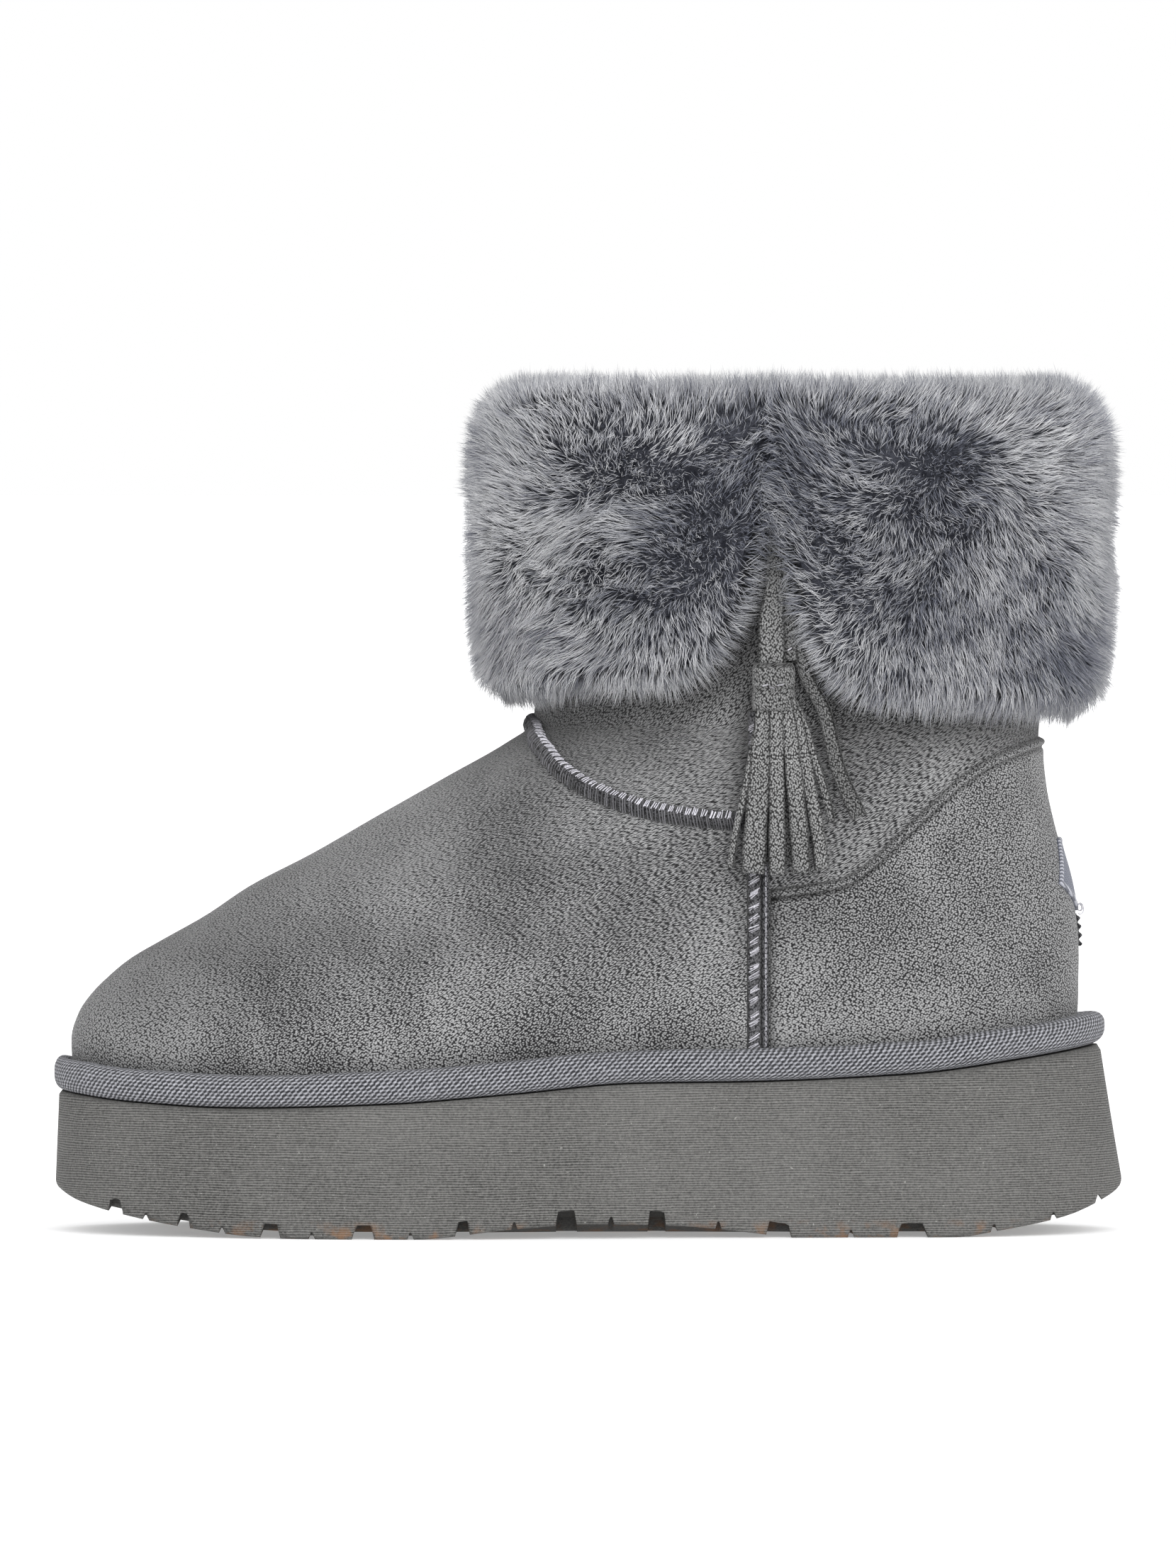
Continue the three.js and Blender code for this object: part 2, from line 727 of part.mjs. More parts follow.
// Tufts along the lower edge. A sine of the place varies their length, width and swing.
function cuffLocks() {
  const count = 36;
  return steps(0, 360, count)
    .slice(0, -1)
    .filter((angle) => angle < slitStart || angle > slitEnd)
    .map((angle, i) => {
      const turn = angle * degree;
      const vary = 0.5 + 0.5 * Math.sin(i * 2.4);
      const depth = furDepth * cuffAt(angle).pile;
      const rootZ = edgeHeight(turn) + lockLength * 0.75;
      const drop = lockLength * (0.8 + 0.5 * vary);
      const swing = (vary - 0.5) * 4 * degree;
      const root = cuffPoint(turn, 0.78 * depth, rootZ);
      const middle = cuffPoint(turn + swing / 2, 0.86 * depth, rootZ - drop * 0.55);
      const tip = cuffPoint(turn + swing, 0.82 * depth, rootZ - drop);
      return lock(root, middle, tip, lockWidth * (0.8 + 0.4 * vary));
    });
}

const tasselX = placeAt(tasselPlace);

// A point out from the upper's outer side, by its place along the boot and its height.
function besidePoint(x, z, distance) {
  const level = levelAt(x, z);
  const face = upperFace(turnAt(x, level), level);
  return new THREE.Vector3(x, face.y - distance, z);
}

// A flat strip through rows of place, height, half width and distance out.
function strip(rows, thick) {
  const loops = rows.map(({ x, z, half, out }) => {
    const middle = besidePoint(x, z, out);
    return [
      [-1, -0.5],
      [1, -0.5],
      [1, 0.5],
      [-1, 0.5],
    ].map(([side, deep]) => new THREE.Vector3(x + side * half, middle.y + deep * thick, z));
  });
  return solidOf(skin(loops));
}

// Strap that comes out of the slit: a loop down to the tassel's head, and a tail past it. Grown, it is the
// room that it takes with a clearance.
function makeStrap(grow = 0) {
  const leg = (table) =>
    strip(
      rowsOf(table).map(({ across, half, up, out }, i) => ({
        x: tasselX + across * headWidth,
        z: lerp(headTop, cuffTop, up) + (i === 0 ? grow : 0),
        half: half * headWidth + grow,
        out: out * headDepth + gap,
      })),
      strapThick + 2 * grow,
    );
  return leg(loopForm).add(leg(tailForm));
}

// Tassel: a rolled band with its strips fused on.
function makeTassel() {
  const bands = [
    [0, 0.86],
    [0.08, 1],
    [0.9, 1],
    [1, 0.84],
  ];
  const loops = bands.map(([down, full]) => {
    const z = headTop - down * headHeight;
    const middle = besidePoint(tasselX, headTop - headHeight / 2, gap + seamHeight + headDepth / 2);
    return steps(0, 2 * Math.PI, 12)
      .slice(0, -1)
      .map((angle) => {
        const across = Math.sign(Math.cos(angle)) * Math.abs(Math.cos(angle)) ** 0.7;
        const deep = Math.sign(Math.sin(angle)) * Math.abs(Math.sin(angle)) ** 0.7;
        const x = tasselX + (across * full * headWidth) / 2;
        return new THREE.Vector3(x, middle.y + (deep * full * headDepth) / 2, z);
      });
  });
  let tassel = solidOf(skin(loops));
  const startZ = headTop - headHeight * 0.7;
  for (const { top, middle, foot, drop, width, layer } of rowsOf(stripForm)) {
    const endZ = headTop * (1 - drop);
    const places = [
      [0, top],
      [0.2, lerp(top, middle, 0.45)],
      [0.55, middle],
      [0.8, lerp(middle, foot, 0.65)],
      [1, foot],
    ];
    const rows = places.map(([share, across]) => ({
      x: tasselX + across * headWidth,
      z: lerp(startZ, endZ, share),
      half: (width * headWidth * lerp(0.8, 1, share)) / 2,
      out: layer * headDepth + gap,
    }));
    tassel = tassel.add(strip(rows, stripThick));
  }
  return tassel;
}

const underCuff = levelAt(sideSeamX, edgeHeight(Math.PI * 1.5) - 2 * gap);
const underTassel = levelAt(sideSeamX, headTop - headHeight - gap);

addPiece("sole", makeSole(), soleGrey, 0.8);
addPiece("insole", makeInsole(), furGrey, 0.95);
addPiece("upper", makeUpper(), suedeGrey, 0.95);
addPiece("welt_binding", makeBinding(), tapeGrey, 0.85);
addPiece("instep_seam", makeInstepSeam(), suedeGrey, 0.9);
addPiece("side_seam_outer", makeSideSeam(1, underTassel), suedeGrey, 0.9);
addPiece("side_seam_inner", makeSideSeam(-1, underCuff), suedeGrey, 0.9);
addPiece("heel_quarter", makeQuarter(), suedeGrey, 0.95);
addPiece("heel_label", makeLabel(), labelGrey, 0.8);
addPiece("fur_cuff", makeCuff(), furGrey, 1);
addPiece("tassel_strap", makeStrap(), suedeGrey, 0.95);
addPiece("tassel", makeTassel(), suedeGrey, 0.95);

// The origin is on the floor, under the middle of the boot's box.
const box = new THREE.Box3().setFromObject(boot);
boot.position.set(-(box.min.x + box.max.x) / 2, -(box.min.y + box.max.y) / 2, -box.min.z);

export default boot;
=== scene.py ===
import math

import bmesh
import bpy
import numpy as np
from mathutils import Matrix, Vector


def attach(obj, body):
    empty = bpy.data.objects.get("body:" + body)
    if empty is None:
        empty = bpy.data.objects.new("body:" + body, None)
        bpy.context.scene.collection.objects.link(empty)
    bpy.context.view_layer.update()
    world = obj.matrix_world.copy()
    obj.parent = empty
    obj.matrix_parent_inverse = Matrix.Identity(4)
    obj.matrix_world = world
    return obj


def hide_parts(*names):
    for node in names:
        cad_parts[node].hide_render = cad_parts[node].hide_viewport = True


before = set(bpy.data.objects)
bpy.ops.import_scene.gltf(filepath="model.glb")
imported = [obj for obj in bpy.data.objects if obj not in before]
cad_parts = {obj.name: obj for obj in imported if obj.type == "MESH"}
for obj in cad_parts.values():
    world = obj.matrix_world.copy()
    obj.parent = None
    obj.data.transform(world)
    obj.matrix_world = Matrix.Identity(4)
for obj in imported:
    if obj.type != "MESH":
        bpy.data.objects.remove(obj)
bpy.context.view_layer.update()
degree = math.pi / 180
metre = 0.001  # shapes are worked out in millimetres and stored in metres

# The boot's own sizes, as the frame has them. The toe points to -X, the outer side to -Y.
boot = dict(
    shiftX=0.244, shiftY=-0.361,  # the boot's middle line in the frame
    soleLength=278, ballWidth=104, ballHeight=33.3, heelHeight=49.5,
    toeSpring=11.8, archRise=3.8, heelRoll=12, sideFlare=2.4, toeFlare=1, heelFlare=6, edgeRound=1.2,
    lugDepth=3.7, sipeDepth=2, sipeWidth=1.6, sipeReach=20,
    wall=3, rimHeight=206, shaftWidth=95, ledge=5.6, gap=0.3,
    cuffTop=222, cuffDrop=86, furDepth=17.5, liningReach=40,
    bindingHeight=8.4, bindingProud=1.3, quarterThick=1.2, sideSeam=0.657, sideSeamWidth=5.7,
    tassel=0.671, headWidth=10.9, headTop=148.4, headHeight=12.3,
)

planForm = dict(
    along=[0, 0.1, 0.2, 0.28, 0.38, 0.5, 0.6, 0.7, 0.8, 0.9, 1],
    outer=[0.43, 0.445, 0.478, 0.5, 0.512, 0.475, 0.43, 0.4, 0.392, 0.39, 0.385],
    inner=[0.5, 0.495, 0.492, 0.49, 0.462, 0.39, 0.362, 0.37, 0.388, 0.39, 0.385],
)
deckForm = dict(
    along=[0, 0.075, 0.166, 0.308, 0.427, 0.544, 0.646, 0.8, 0.902, 1],
    rise=[0.21, 0.068, 0, 0.068, 0.228, 0.395, 0.41, 0.53, 0.747, 1],
)
treadForm = dict(
    along=[0, 0.025, 0.07, 0.12, 0.19, 0.24, 0.335, 0.43, 0.5, 0.575, 0.66, 0.685, 0.84, 0.88, 0.945, 0.985,
           1],
    toe=[1, 0.72, 0.45, 0.24, 0.04, 0, 0, 0, 0, 0, 0, 0, 0, 0, 0, 0, 0],
    arch=[0, 0, 0, 0, 0, 0, 0, 0.68, 1, 0.87, 0.26, 0, 0, 0, 0, 0, 0],
    heel=[0, 0, 0, 0, 0, 0, 0, 0, 0, 0, 0, 0, 0, 0.13, 0.42, 0.8, 1],
)
# Sections of the upper from its foot (level 0) to the collar's rim (level 1).
upperForm = dict(
    level=[0, 0.04, 0.08, 0.12, 0.15, 0.18, 0.21, 0.24, 0.28, 0.325, 0.375, 0.43, 0.485, 0.53, 0.56, 0.6,
           0.8, 1],
    front=[0.019, 0.0163, 0.0151, 0.0216, 0.033, 0.0495, 0.07, 0.0996, 0.142, 0.183, 0.243, 0.305, 0.368,
           0.421, 0.447, 0.4505, 0.452, 0.453],
    back=[0.9476, 0.9516, 0.9529, 0.9533, 0.9539, 0.9537, 0.9516, 0.9491, 0.9446, 0.9376, 0.9299, 0.9236,
          0.9212, 0.9223, 0.9246, 0.926, 0.928, 0.93],
    nose=[0.3, 0.3, 0.3, 0.31, 0.32, 0.33, 0.34, 0.355, 0.37, 0.37, 0.355, 0.335, 0.3, 0.265, 0.243, 0.2378,
          0.238, 0.2385],
    seat=[0.2, 0.2, 0.21, 0.21, 0.22, 0.22, 0.22, 0.23, 0.23, 0.235, 0.235, 0.237, 0.237, 0.237, 0.2375,
          0.2378, 0.238, 0.2385],
    corner=[2.35, 2.35, 2.3, 2.25, 2.2, 2.15, 2.1, 2.1, 2.05, 2, 2, 2, 2, 2, 2, 2, 2, 2],
    spread=[0, 0, 0, 0.02, 0.05, 0.1, 0.16, 0.24, 0.34, 0.48, 0.62, 0.78, 0.9, 0.97, 1, 1, 1, 1],
    girth=[0.965, 0.99, 1, 1, 0.995, 0.99, 0.985, 0.98, 0.975, 0.97, 0.97, 0.975, 0.985, 0.995, 1, 1, 1, 1],
)

# Lower edge of the cuff round the shaft, in degrees from the toe by the outer side.
cuffForm = dict(
    turn=[0, 25, 50, 66, 72, 77, 81, 85.5, 89.5, 93, 97, 104, 130, 180, 240, 300, 360],
    drop=[0.994, 1, 0.98, 0.972, 0.93, 0.83, 0.69, 0.44, 0.69, 0.85, 0.96, 1.02, 1.04, 1.045, 1.02, 1,
          0.994],
    pile=[1, 1, 1, 1, 0.98, 0.92, 0.8, 0.7, 0.8, 0.92, 0.98, 1, 1, 0.96, 1, 1, 1],
)


# Smooth reading of a table's column: cubic pieces whose slopes are harmonic means, so no row is passed.
def read(table, key, column):
    keys = np.array(table[next(iter(table))], float)
    values = np.array(table[column], float)
    at = np.clip(key, keys[0], keys[-1])
    span = np.diff(keys)
    rise = np.diff(values) / span
    before, after = np.r_[rise[0], rise], np.r_[rise, rise[-1]]
    total = np.where(before * after > 0, before + after, 1)
    slope = np.where(before * after > 0, 2 * before * after / total, 0)
    i = np.clip(np.searchsorted(keys, at, side="left") - 1, 0, len(keys) - 2)
    t = (at - keys[i]) / span[i]
    start = (1 + 2 * t) * (1 - t) ** 2 * values[i] + t * (1 - t) ** 2 * span[i] * slope[i]
    end = t ** 2 * (3 - 2 * t) * values[i + 1] - t ** 2 * (1 - t) * span[i] * slope[i + 1]
    return start + end


# From a to b by a share t.
def mix(a, b, t):
    return a + (b - a) * t


# Smooth step: 0 up to low, 1 from high on, and a cubic between them.
def smooth(low, high, value):
    t = np.clip((value - low) / (high - low), 0, 1)
    return t * t * (3 - 2 * t)


# A soft bump of height 1 at a centre, falling to nothing a few widths away.
def bell(value, centre, width):
    return np.exp(-(((value - centre) / width) ** 2))


# Place along the boot for a share of its length from the toe, and back.
def placeAt(share):
    return (share - 0.5) * boot["soleLength"]


def shareOf(x):
    return x / boot["soleLength"] + 0.5


# Height of the platform's top: the ball's height at the flex, rising to the toe and to the heel's height.
def deckHeight(x):
    return mix(boot["ballHeight"], boot["heelHeight"], read(deckForm, shareOf(x), "rise"))


# Height of the platform's foot: toe spring, arch and heel roll added up.
def treadHeight(x):
    s = shareOf(x)
    lift = read(treadForm, s, "toe") * boot["toeSpring"] + read(treadForm, s, "arch") * boot["archRise"]
    return lift + read(treadForm, s, "heel") * boot["heelRoll"]


# Share of the full width at a distance from a round end: a quarter of a superellipse.
def roundEnd(distance, length, power):
    t = np.clip(distance / length, 0, 1)
    return (1 - (1 - t) ** power) ** (1 / power)


# Half width of the foot's plan, as a share of the ball's width, and the side (-1 outer, 1 inner).
def halfPlan(turn, x):
    outer = np.sin(turn) >= 0
    half = np.where(outer, read(planForm, shareOf(x), "outer"), read(planForm, shareOf(x), "inner"))
    return half, np.where(outer, -1.0, 1.0)


# Ends of the platform at a depth (0 top, 1 foot): the toe leans out by its flare and so does the heel.
def soleEnds(depth, grow):
    front = placeAt(0.004) - boot["toeFlare"] * depth - grow
    back = placeAt(1) - boot["heelFlare"] * (1 - depth) + grow
    return front, back


# Platform's outline at a depth: x swings from toe to heel by the cosine of the turn, and the foot's plan is
# rounded in at both ends.
def solePoint(turn, depth, grow=0.0):
    front, back = soleEnds(depth, grow)
    x = mix(front, back, (1 - np.cos(turn)) / 2)
    half, sign = halfPlan(turn, x)
    full = half * boot["ballWidth"] + boot["sideFlare"] * depth + grow
    toe = roundEnd(x - front, 0.3 * boot["soleLength"], 2.35)
    heel = roundEnd(back - x, 0.2 * boot["soleLength"], 2.1)
    return x, sign * full * toe * heel


# Upper's outer face: at each level an outline between its front and back, half as wide as the foot's plan
# low down and as the shaft's oval high up, rounded in at both ends.
def upperFace(turn, level):
    start = placeAt(read(upperForm, level, "front"))
    end = placeAt(read(upperForm, level, "back"))
    x = mix(start, end, (1 - np.cos(turn)) / 2)
    half, sign = halfPlan(turn, x)
    foot = half * boot["ballWidth"] - boot["ledge"]
    nose, seat, corner = (read(upperForm, level, column) for column in ("nose", "seat", "corner"))
    spread, girth = read(upperForm, level, "spread"), read(upperForm, level, "girth")
    full = mix(foot, boot["shaftWidth"] / 2, spread) * girth
    nose = roundEnd(x - start, nose * boot["soleLength"], corner)
    seat = roundEnd(end - x, seat * boot["soleLength"], 2)
    z = mix(deckHeight(x) + boot["gap"], boot["rimHeight"], level)
    return np.stack([x, sign * full * nose * seat, z], -1)


# Vectors of length 1.
def unit(v):
    return v / np.maximum(np.linalg.norm(v, axis=-1, keepdims=True), 1e-9)


# Point of the upper with its outward direction, the cross product of small steps around and up.
def upperFrame(turn, level):
    turn, level = np.broadcast_arrays(np.asarray(turn, float), np.asarray(level, float))
    step = 0.012
    around = upperFace(turn + step, level) - upperFace(turn - step, level)
    up = upperFace(turn, level + step) - upperFace(turn, level - step)
    return upperFace(turn, level), unit(np.cross(around, up)), unit(around)


def upperPoint(turn, level, distance):
    point, out, around = upperFrame(turn, level)
    return point + out * np.asarray(distance)[..., None]


# Level of a height above a place along the boot, and turn of a place along an outline: both undo upperFace.
def levelAt(x, z):
    base = deckHeight(x) + boot["gap"]
    return (z - base) / (boot["rimHeight"] - base)


def turnAt(x, level):
    start = placeAt(read(upperForm, level, "front"))
    end = placeAt(read(upperForm, level, "back"))
    return np.arccos(np.clip(1 - 2 * (x - start) / (end - start), -1, 1))


# Value noise on a grid of seeded numbers, blended by smooth steps; wraps in both directions.
def softNoise(u, v, seed, cells=64):
    grid = np.random.default_rng(seed).uniform(-1, 1, (cells, cells))
    iu, iv = np.floor(u).astype(int), np.floor(v).astype(int)
    fu, fv = u - iu, v - iv
    fu, fv = fu * fu * (3 - 2 * fu), fv * fv * (3 - 2 * fv)
    a, b = grid[iu % cells, iv % cells], grid[(iu + 1) % cells, iv % cells]
    c, d = grid[iu % cells, (iv + 1) % cells], grid[(iu + 1) % cells, (iv + 1) % cells]
    return mix(mix(a, b, fu), mix(c, d, fu), fv)


# Merges doubled points of a joined mesh and turns its faces outward.
def weld(piece, distance):
    cage = bmesh.new()
    cage.from_mesh(piece.data)
    bmesh.ops.remove_doubles(cage, verts=cage.verts, dist=distance * metre)
    bmesh.ops.dissolve_degenerate(cage, edges=cage.edges, dist=1e-7)
    bmesh.ops.recalc_face_normals(cage, faces=cage.faces)
    cage.to_mesh(piece.data)
    cage.free()
    piece.data.update()


# Puts points, in millimetres on the boot's own middle line, and faces into a new object that rides the boot.
# It can carry a map over its cloth and an attribute of colours, or of one shade a point.
def makeMesh(name, points, faces, material, nodes=(), uv=None, shade=None, welded=None):
    points = np.asarray(points, float).reshape(-1, 3)
    points = (points + [boot["shiftX"], boot["shiftY"], 0]) * metre
    mesh = bpy.data.meshes.new(name)
    sizes = np.concatenate([np.full(len(f), f.shape[1]) for f in faces])
    corners = np.concatenate([f.reshape(-1) for f in faces]).astype(np.int32)
    mesh.vertices.add(len(points))
    mesh.vertices.foreach_set("co", points.astype(np.float32).reshape(-1))
    mesh.loops.add(len(corners))
    mesh.loops.foreach_set("vertex_index", corners)
    mesh.polygons.add(len(sizes))
    mesh.polygons.foreach_set("loop_start", np.r_[0, np.cumsum(sizes)[:-1]].astype(np.int32))
    mesh.update(calc_edges=True)
    if uv is not None:
        layer = mesh.uv_layers.new(name="pattern")
        layer.data.foreach_set("uv", uv.reshape(-1, 2)[corners].astype(np.float32).reshape(-1))
    if shade is not None:
        layer = mesh.color_attributes.new(name="shade", type="FLOAT_COLOR", domain="POINT")
        rgba = np.ones((len(points), 4), np.float32)
        rgba[:, :3] = np.asarray(shade, np.float32).reshape(len(points), -1)
        layer.data.foreach_set("color", rgba.reshape(-1))
    mesh.polygons.foreach_set("use_smooth", np.ones(len(sizes), bool))
    mesh.validate()
    piece = bpy.data.objects.new(name, mesh)
    bpy.context.scene.collection.objects.link(piece)
    mesh.materials.append(material)
    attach(piece, "root")
    if nodes:
        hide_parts(*nodes)
    if welded:
        weld(piece, welded)


# Quads between neighbours of a grid of points, row by row, closed on itself where asked.
def gridFaces(rows, columns, closeRows=False, closeColumns=False, first=0):
    i = np.arange(rows if closeRows else rows - 1)
    j = np.arange(columns if closeColumns else columns - 1)
    i, j = np.meshgrid(i, j, indexing="ij")
    ni, nj = (i + 1) % rows, (j + 1) % columns
    quads = np.stack([i * columns + j, ni * columns + j, ni * columns + nj, i * columns + nj], -1)
    return quads.reshape(-1, 4) + first


# Faces of a closed tube: rings of a grid joined row by row, with a cap on its first and last row.
def tubeFaces(rows, columns):
    cap = np.arange(columns)[None]
    caps = np.concatenate([cap[:, ::-1], cap + (rows - 1) * columns])
    return [gridFaces(rows, columns, closeColumns=True), caps]


# Tubes along many paths at once: paths are (count, steps, 3), radius (count, steps); both ends are closed.
def tubes(paths, radius, sides=6):
    count, steps, _ = paths.shape
    along = np.gradient(paths, axis=1)
    along = unit(along)
    helper = np.broadcast_to(np.array([0.31, 0.17, 0.93]), paths.shape)
    across = unit(np.cross(along, helper))
    deep = np.cross(along, across)
    angle = np.arange(sides) * 2 * math.pi / sides
    ring = across[:, :, None] * np.cos(angle)[:, None] + deep[:, :, None] * np.sin(angle)[:, None]
    points = paths[:, :, None] + ring * radius[:, :, None, None]
    quads = gridFaces(steps, sides, closeColumns=True)[:, ::-1]
    start = np.arange(sides)[None, :]
    caps = np.concatenate([start, start[:, ::-1] + (steps - 1) * sides])
    offset = np.arange(count)[:, None, None] * steps * sides
    faces = [(quads[None] + offset).reshape(-1, 4), (caps[None] + offset).reshape(-1, sides)]
    return points.reshape(-1, 3), faces


# Joins (points, faces) pairs into one pair.
def join(parts):
    points, faces, first = [], [], 0
    for p, f in parts:
        points.append(p.reshape(-1, 3))
        faces += [g + first for g in f]
        first += len(p.reshape(-1, 3))
    return np.concatenate(points), faces


def newMaterial(name, rough=0.9, **sockets):
    material = bpy.data.materials.new(name)
    material.use_nodes = True
    tree = material.node_tree
    shader = next(n for n in tree.nodes if n.type == "BSDF_PRINCIPLED")
    shader.inputs["Roughness"].default_value = rough
    for key, value in sockets.items():
        shader.inputs[key.replace("_", " ")].default_value = value
    return material, tree, shader


def newGroup(name, inputs, outputs):
    tree = bpy.data.node_groups.new(name, "ShaderNodeTree")
    kinds = {"v": "NodeSocketVector", "f": "NodeSocketFloat", "c": "NodeSocketColor"}
    for label, kind, value in inputs:
        socket = tree.interface.new_socket(name=label, in_out="INPUT", socket_type=kinds[kind])
        if value is not None:
            socket.default_value = value
    for label, kind in outputs:
        tree.interface.new_socket(name=label, in_out="OUTPUT", socket_type=kinds[kind])
    return tree, tree.nodes.new("NodeGroupInput").outputs, tree.nodes.new("NodeGroupOutput").inputs


# Gives a socket a value, or links it where the value is another socket.
def feed(tree, socket, value):
    if isinstance(value, bpy.types.NodeSocket):
        tree.links.new(value, socket)
    else:
        socket.default_value = value


def addNode(tree, kind, inputs=None, **settings):
    node = tree.nodes.new(kind)
    for key, value in settings.items():
        setattr(node, key, value)
    for key, value in (inputs or {}).items():
        feed(tree, node.inputs[key], value)
    return node


def calc(tree, operation, a, b=0.0):
    node = addNode(tree, "ShaderNodeMath", operation=operation)
    feed(tree, node.inputs[0], a)
    feed(tree, node.inputs[1], b)
    return node.outputs[0]


def noise(tree, vector, scale, detail=3.0, rough=0.55, distortion=0.0):
    look = {"Vector": vector, "Scale": scale, "Detail": detail, "Roughness": rough, "Distortion": distortion}
    return addNode(tree, "ShaderNodeTexNoise", look).outputs["Fac"]


def remap(tree, value, low, high, toLow=0.0, toHigh=1.0):
    ends = {"Value": value, "From Min": low, "From Max": high, "To Min": toLow, "To Max": toHigh}
    return addNode(tree, "ShaderNodeMapRange", ends, clamp=True).outputs["Result"]


def blendColor(tree, factor, a, b, kind="MIX"):
    node = addNode(tree, "ShaderNodeMix", data_type="RGBA", blend_type=kind)
    for label, value in (("Factor", factor), ("A", a), ("B", b)):
        feed(tree, node.inputs[label], value)
    return node.outputs["Result"]


def bumpTo(tree, shader, height, strength, distance):
    node = addNode(tree, "ShaderNodeBump", {"Height": height, "Strength": strength, "Distance": distance})
    tree.links.new(node.outputs["Normal"], shader.inputs["Normal"])


def objectPlace(tree):
    return tree.nodes.new("ShaderNodeTexCoord").outputs["Object"]


# Napped cloth: colour and height from fine pits and fibres in slanting rows, as on a knit backing, with
# brushed patches where the nap lies over, and pale flecks. Place is in millimetres over the cloth.
def makeNapGroup():
    tree, given, out = newGroup("nappedCloth", [
        ("Place", "v", None), ("Where", "v", None), ("Light", "c", (0.3, 0.3, 0.3, 1)),
        ("Dark", "c", (0.04, 0.04, 0.04, 1)), ("Grain", "f", 1.2), ("Patches", "f", 1.0),
    ], [("Color", "c"), ("Height", "f")])
    place, where = given["Place"], given["Where"]
    slanted = addNode(tree, "ShaderNodeMapping", {"Vector": place, "Rotation": (0.0, 0.0, 0.6),
                                                  "Scale": (1.0, 1.3, 1.0)}).outputs[0]
    cells = {"Vector": slanted, "Scale": given["Grain"], "Randomness": 0.75}
    pits = addNode(tree, "ShaderNodeTexVoronoi", cells, voronoi_dimensions="2D").outputs["Distance"]
    fibres = noise(tree, place, 2.1, 1.0, 0.6)
    height = calc(tree, "SUBTRACT", calc(tree, "ADD", fibres, 0.34), calc(tree, "MULTIPLY", pits, 0.9))
    brushed = noise(tree, where, 40.0, 2.0, 0.5, 0.5)
    wide = noise(tree, where, 15.0, 2.0, 0.5)
    nap = calc(tree, "ADD", calc(tree, "MULTIPLY", brushed, 0.55), calc(tree, "MULTIPLY", wide, 0.6))
    nap = calc(tree, "MULTIPLY", calc(tree, "SUBTRACT", nap, 0.575), given["Patches"])
    lit = remap(tree, calc(tree, "ADD", height, calc(tree, "MULTIPLY", nap, 0.6)), 0.3, 0.72)
    color = blendColor(tree, lit, given["Dark"], given["Light"])
    flecks = remap(tree, noise(tree, where, 1500.0, 1.0, 0.5), 0.71, 0.78)
    color = blendColor(tree, calc(tree, "MULTIPLY", flecks, 0.6), color, (0.5, 0.5, 0.5, 1))
    tree.links.new(color, out["Color"])
    tree.links.new(height, out["Height"])
    return tree


napGroup = makeNapGroup()


def addGroup(tree, group, **inputs):
    node = tree.nodes.new("ShaderNodeGroup")
    node.node_tree = group
    for key, value in inputs.items():
        feed(tree, node.inputs[key], value)
    return node


def makeSuede(name, light, dark, grain=1.2, patches=1.0, depth=0.0004):
    material, tree, shader = newMaterial(name, 0.95, Sheen_Weight=0.2, Sheen_Roughness=0.5,
                                         Specular_IOR_Level=0.15)
    place = addNode(tree, "ShaderNodeUVMap", uv_map="pattern").outputs[0]
    nap = addGroup(tree, napGroup, Place=place, Where=objectPlace(tree), Light=light, Dark=dark, Grain=grain,
                   Patches=patches)
    mask = addNode(tree, "ShaderNodeVertexColor", layer_name="shade").outputs["Color"]
    color = blendColor(tree, 1.0, nap.outputs["Color"], mask, "MULTIPLY")
    tree.links.new(color, shader.inputs["Base Color"])
    bumpTo(tree, shader, nap.outputs["Height"], 0.7, depth)
    return material


# Millimetres over a grid of points, along its rows and columns. Mirrored maps run out from the first row to
# both sides and meet at the back.
def clothMap(points, mirrored=False):
    along = np.linalg.norm(np.diff(points, axis=0), axis=2)
    along = np.concatenate([np.zeros((1, points.shape[1])), np.cumsum(along, 0)])
    if mirrored:
        along = np.minimum(along, along[-1:] + np.linalg.norm(points[-1] - points[0], axis=1)[None] - along)
    over = np.linalg.norm(np.diff(points, axis=1), axis=2)
    over = np.concatenate([np.zeros((points.shape[0], 1)), np.cumsum(over, 1)], 1)
    return np.stack([along, over], -1).reshape(-1, 2)


suedeMaterial = makeSuede("greySuede", (0.33, 0.331, 0.333, 1), (0.014, 0.014, 0.015, 1), 1.4)
stripMaterial = makeSuede("tasselSuede", (0.32, 0.321, 0.32, 1), (0.02, 0.02, 0.02, 1), 1.4, 0.5)
pipingMaterial = makeSuede("seamPiping", (0.13, 0.13, 0.138, 1), (0.014, 0.014, 0.016, 1), 1.1, 0.6)


# Thread: its shine comes from a low roughness, and each thread has its own tone in the attribute.
def makeThread():
    material, tree, shader = newMaterial("silverThread", 0.38, Sheen_Weight=0.1)
    twist = noise(tree, objectPlace(tree), 3800.0, 2.0, 0.6)
    color = blendColor(tree, remap(tree, twist, 0.3, 0.7), (0.42, 0.41, 0.47, 1), (0.95, 0.94, 1.0, 1))
    tone = addNode(tree, "ShaderNodeVertexColor", layer_name="shade").outputs["Color"]
    tree.links.new(blendColor(tree, 1.0, color, tone, "MULTIPLY"), shader.inputs["Base Color"])
    bumpTo(tree, shader, twist, 0.4, 0.0001)
    return material


threadMaterial = makeThread()
print("stage: materials for suede and thread ready")


# Upper: the section function above with listed creases, an inner wall and a rolled rim.
upperLook = dict(turns=220, levels=100, insideLevels=20)
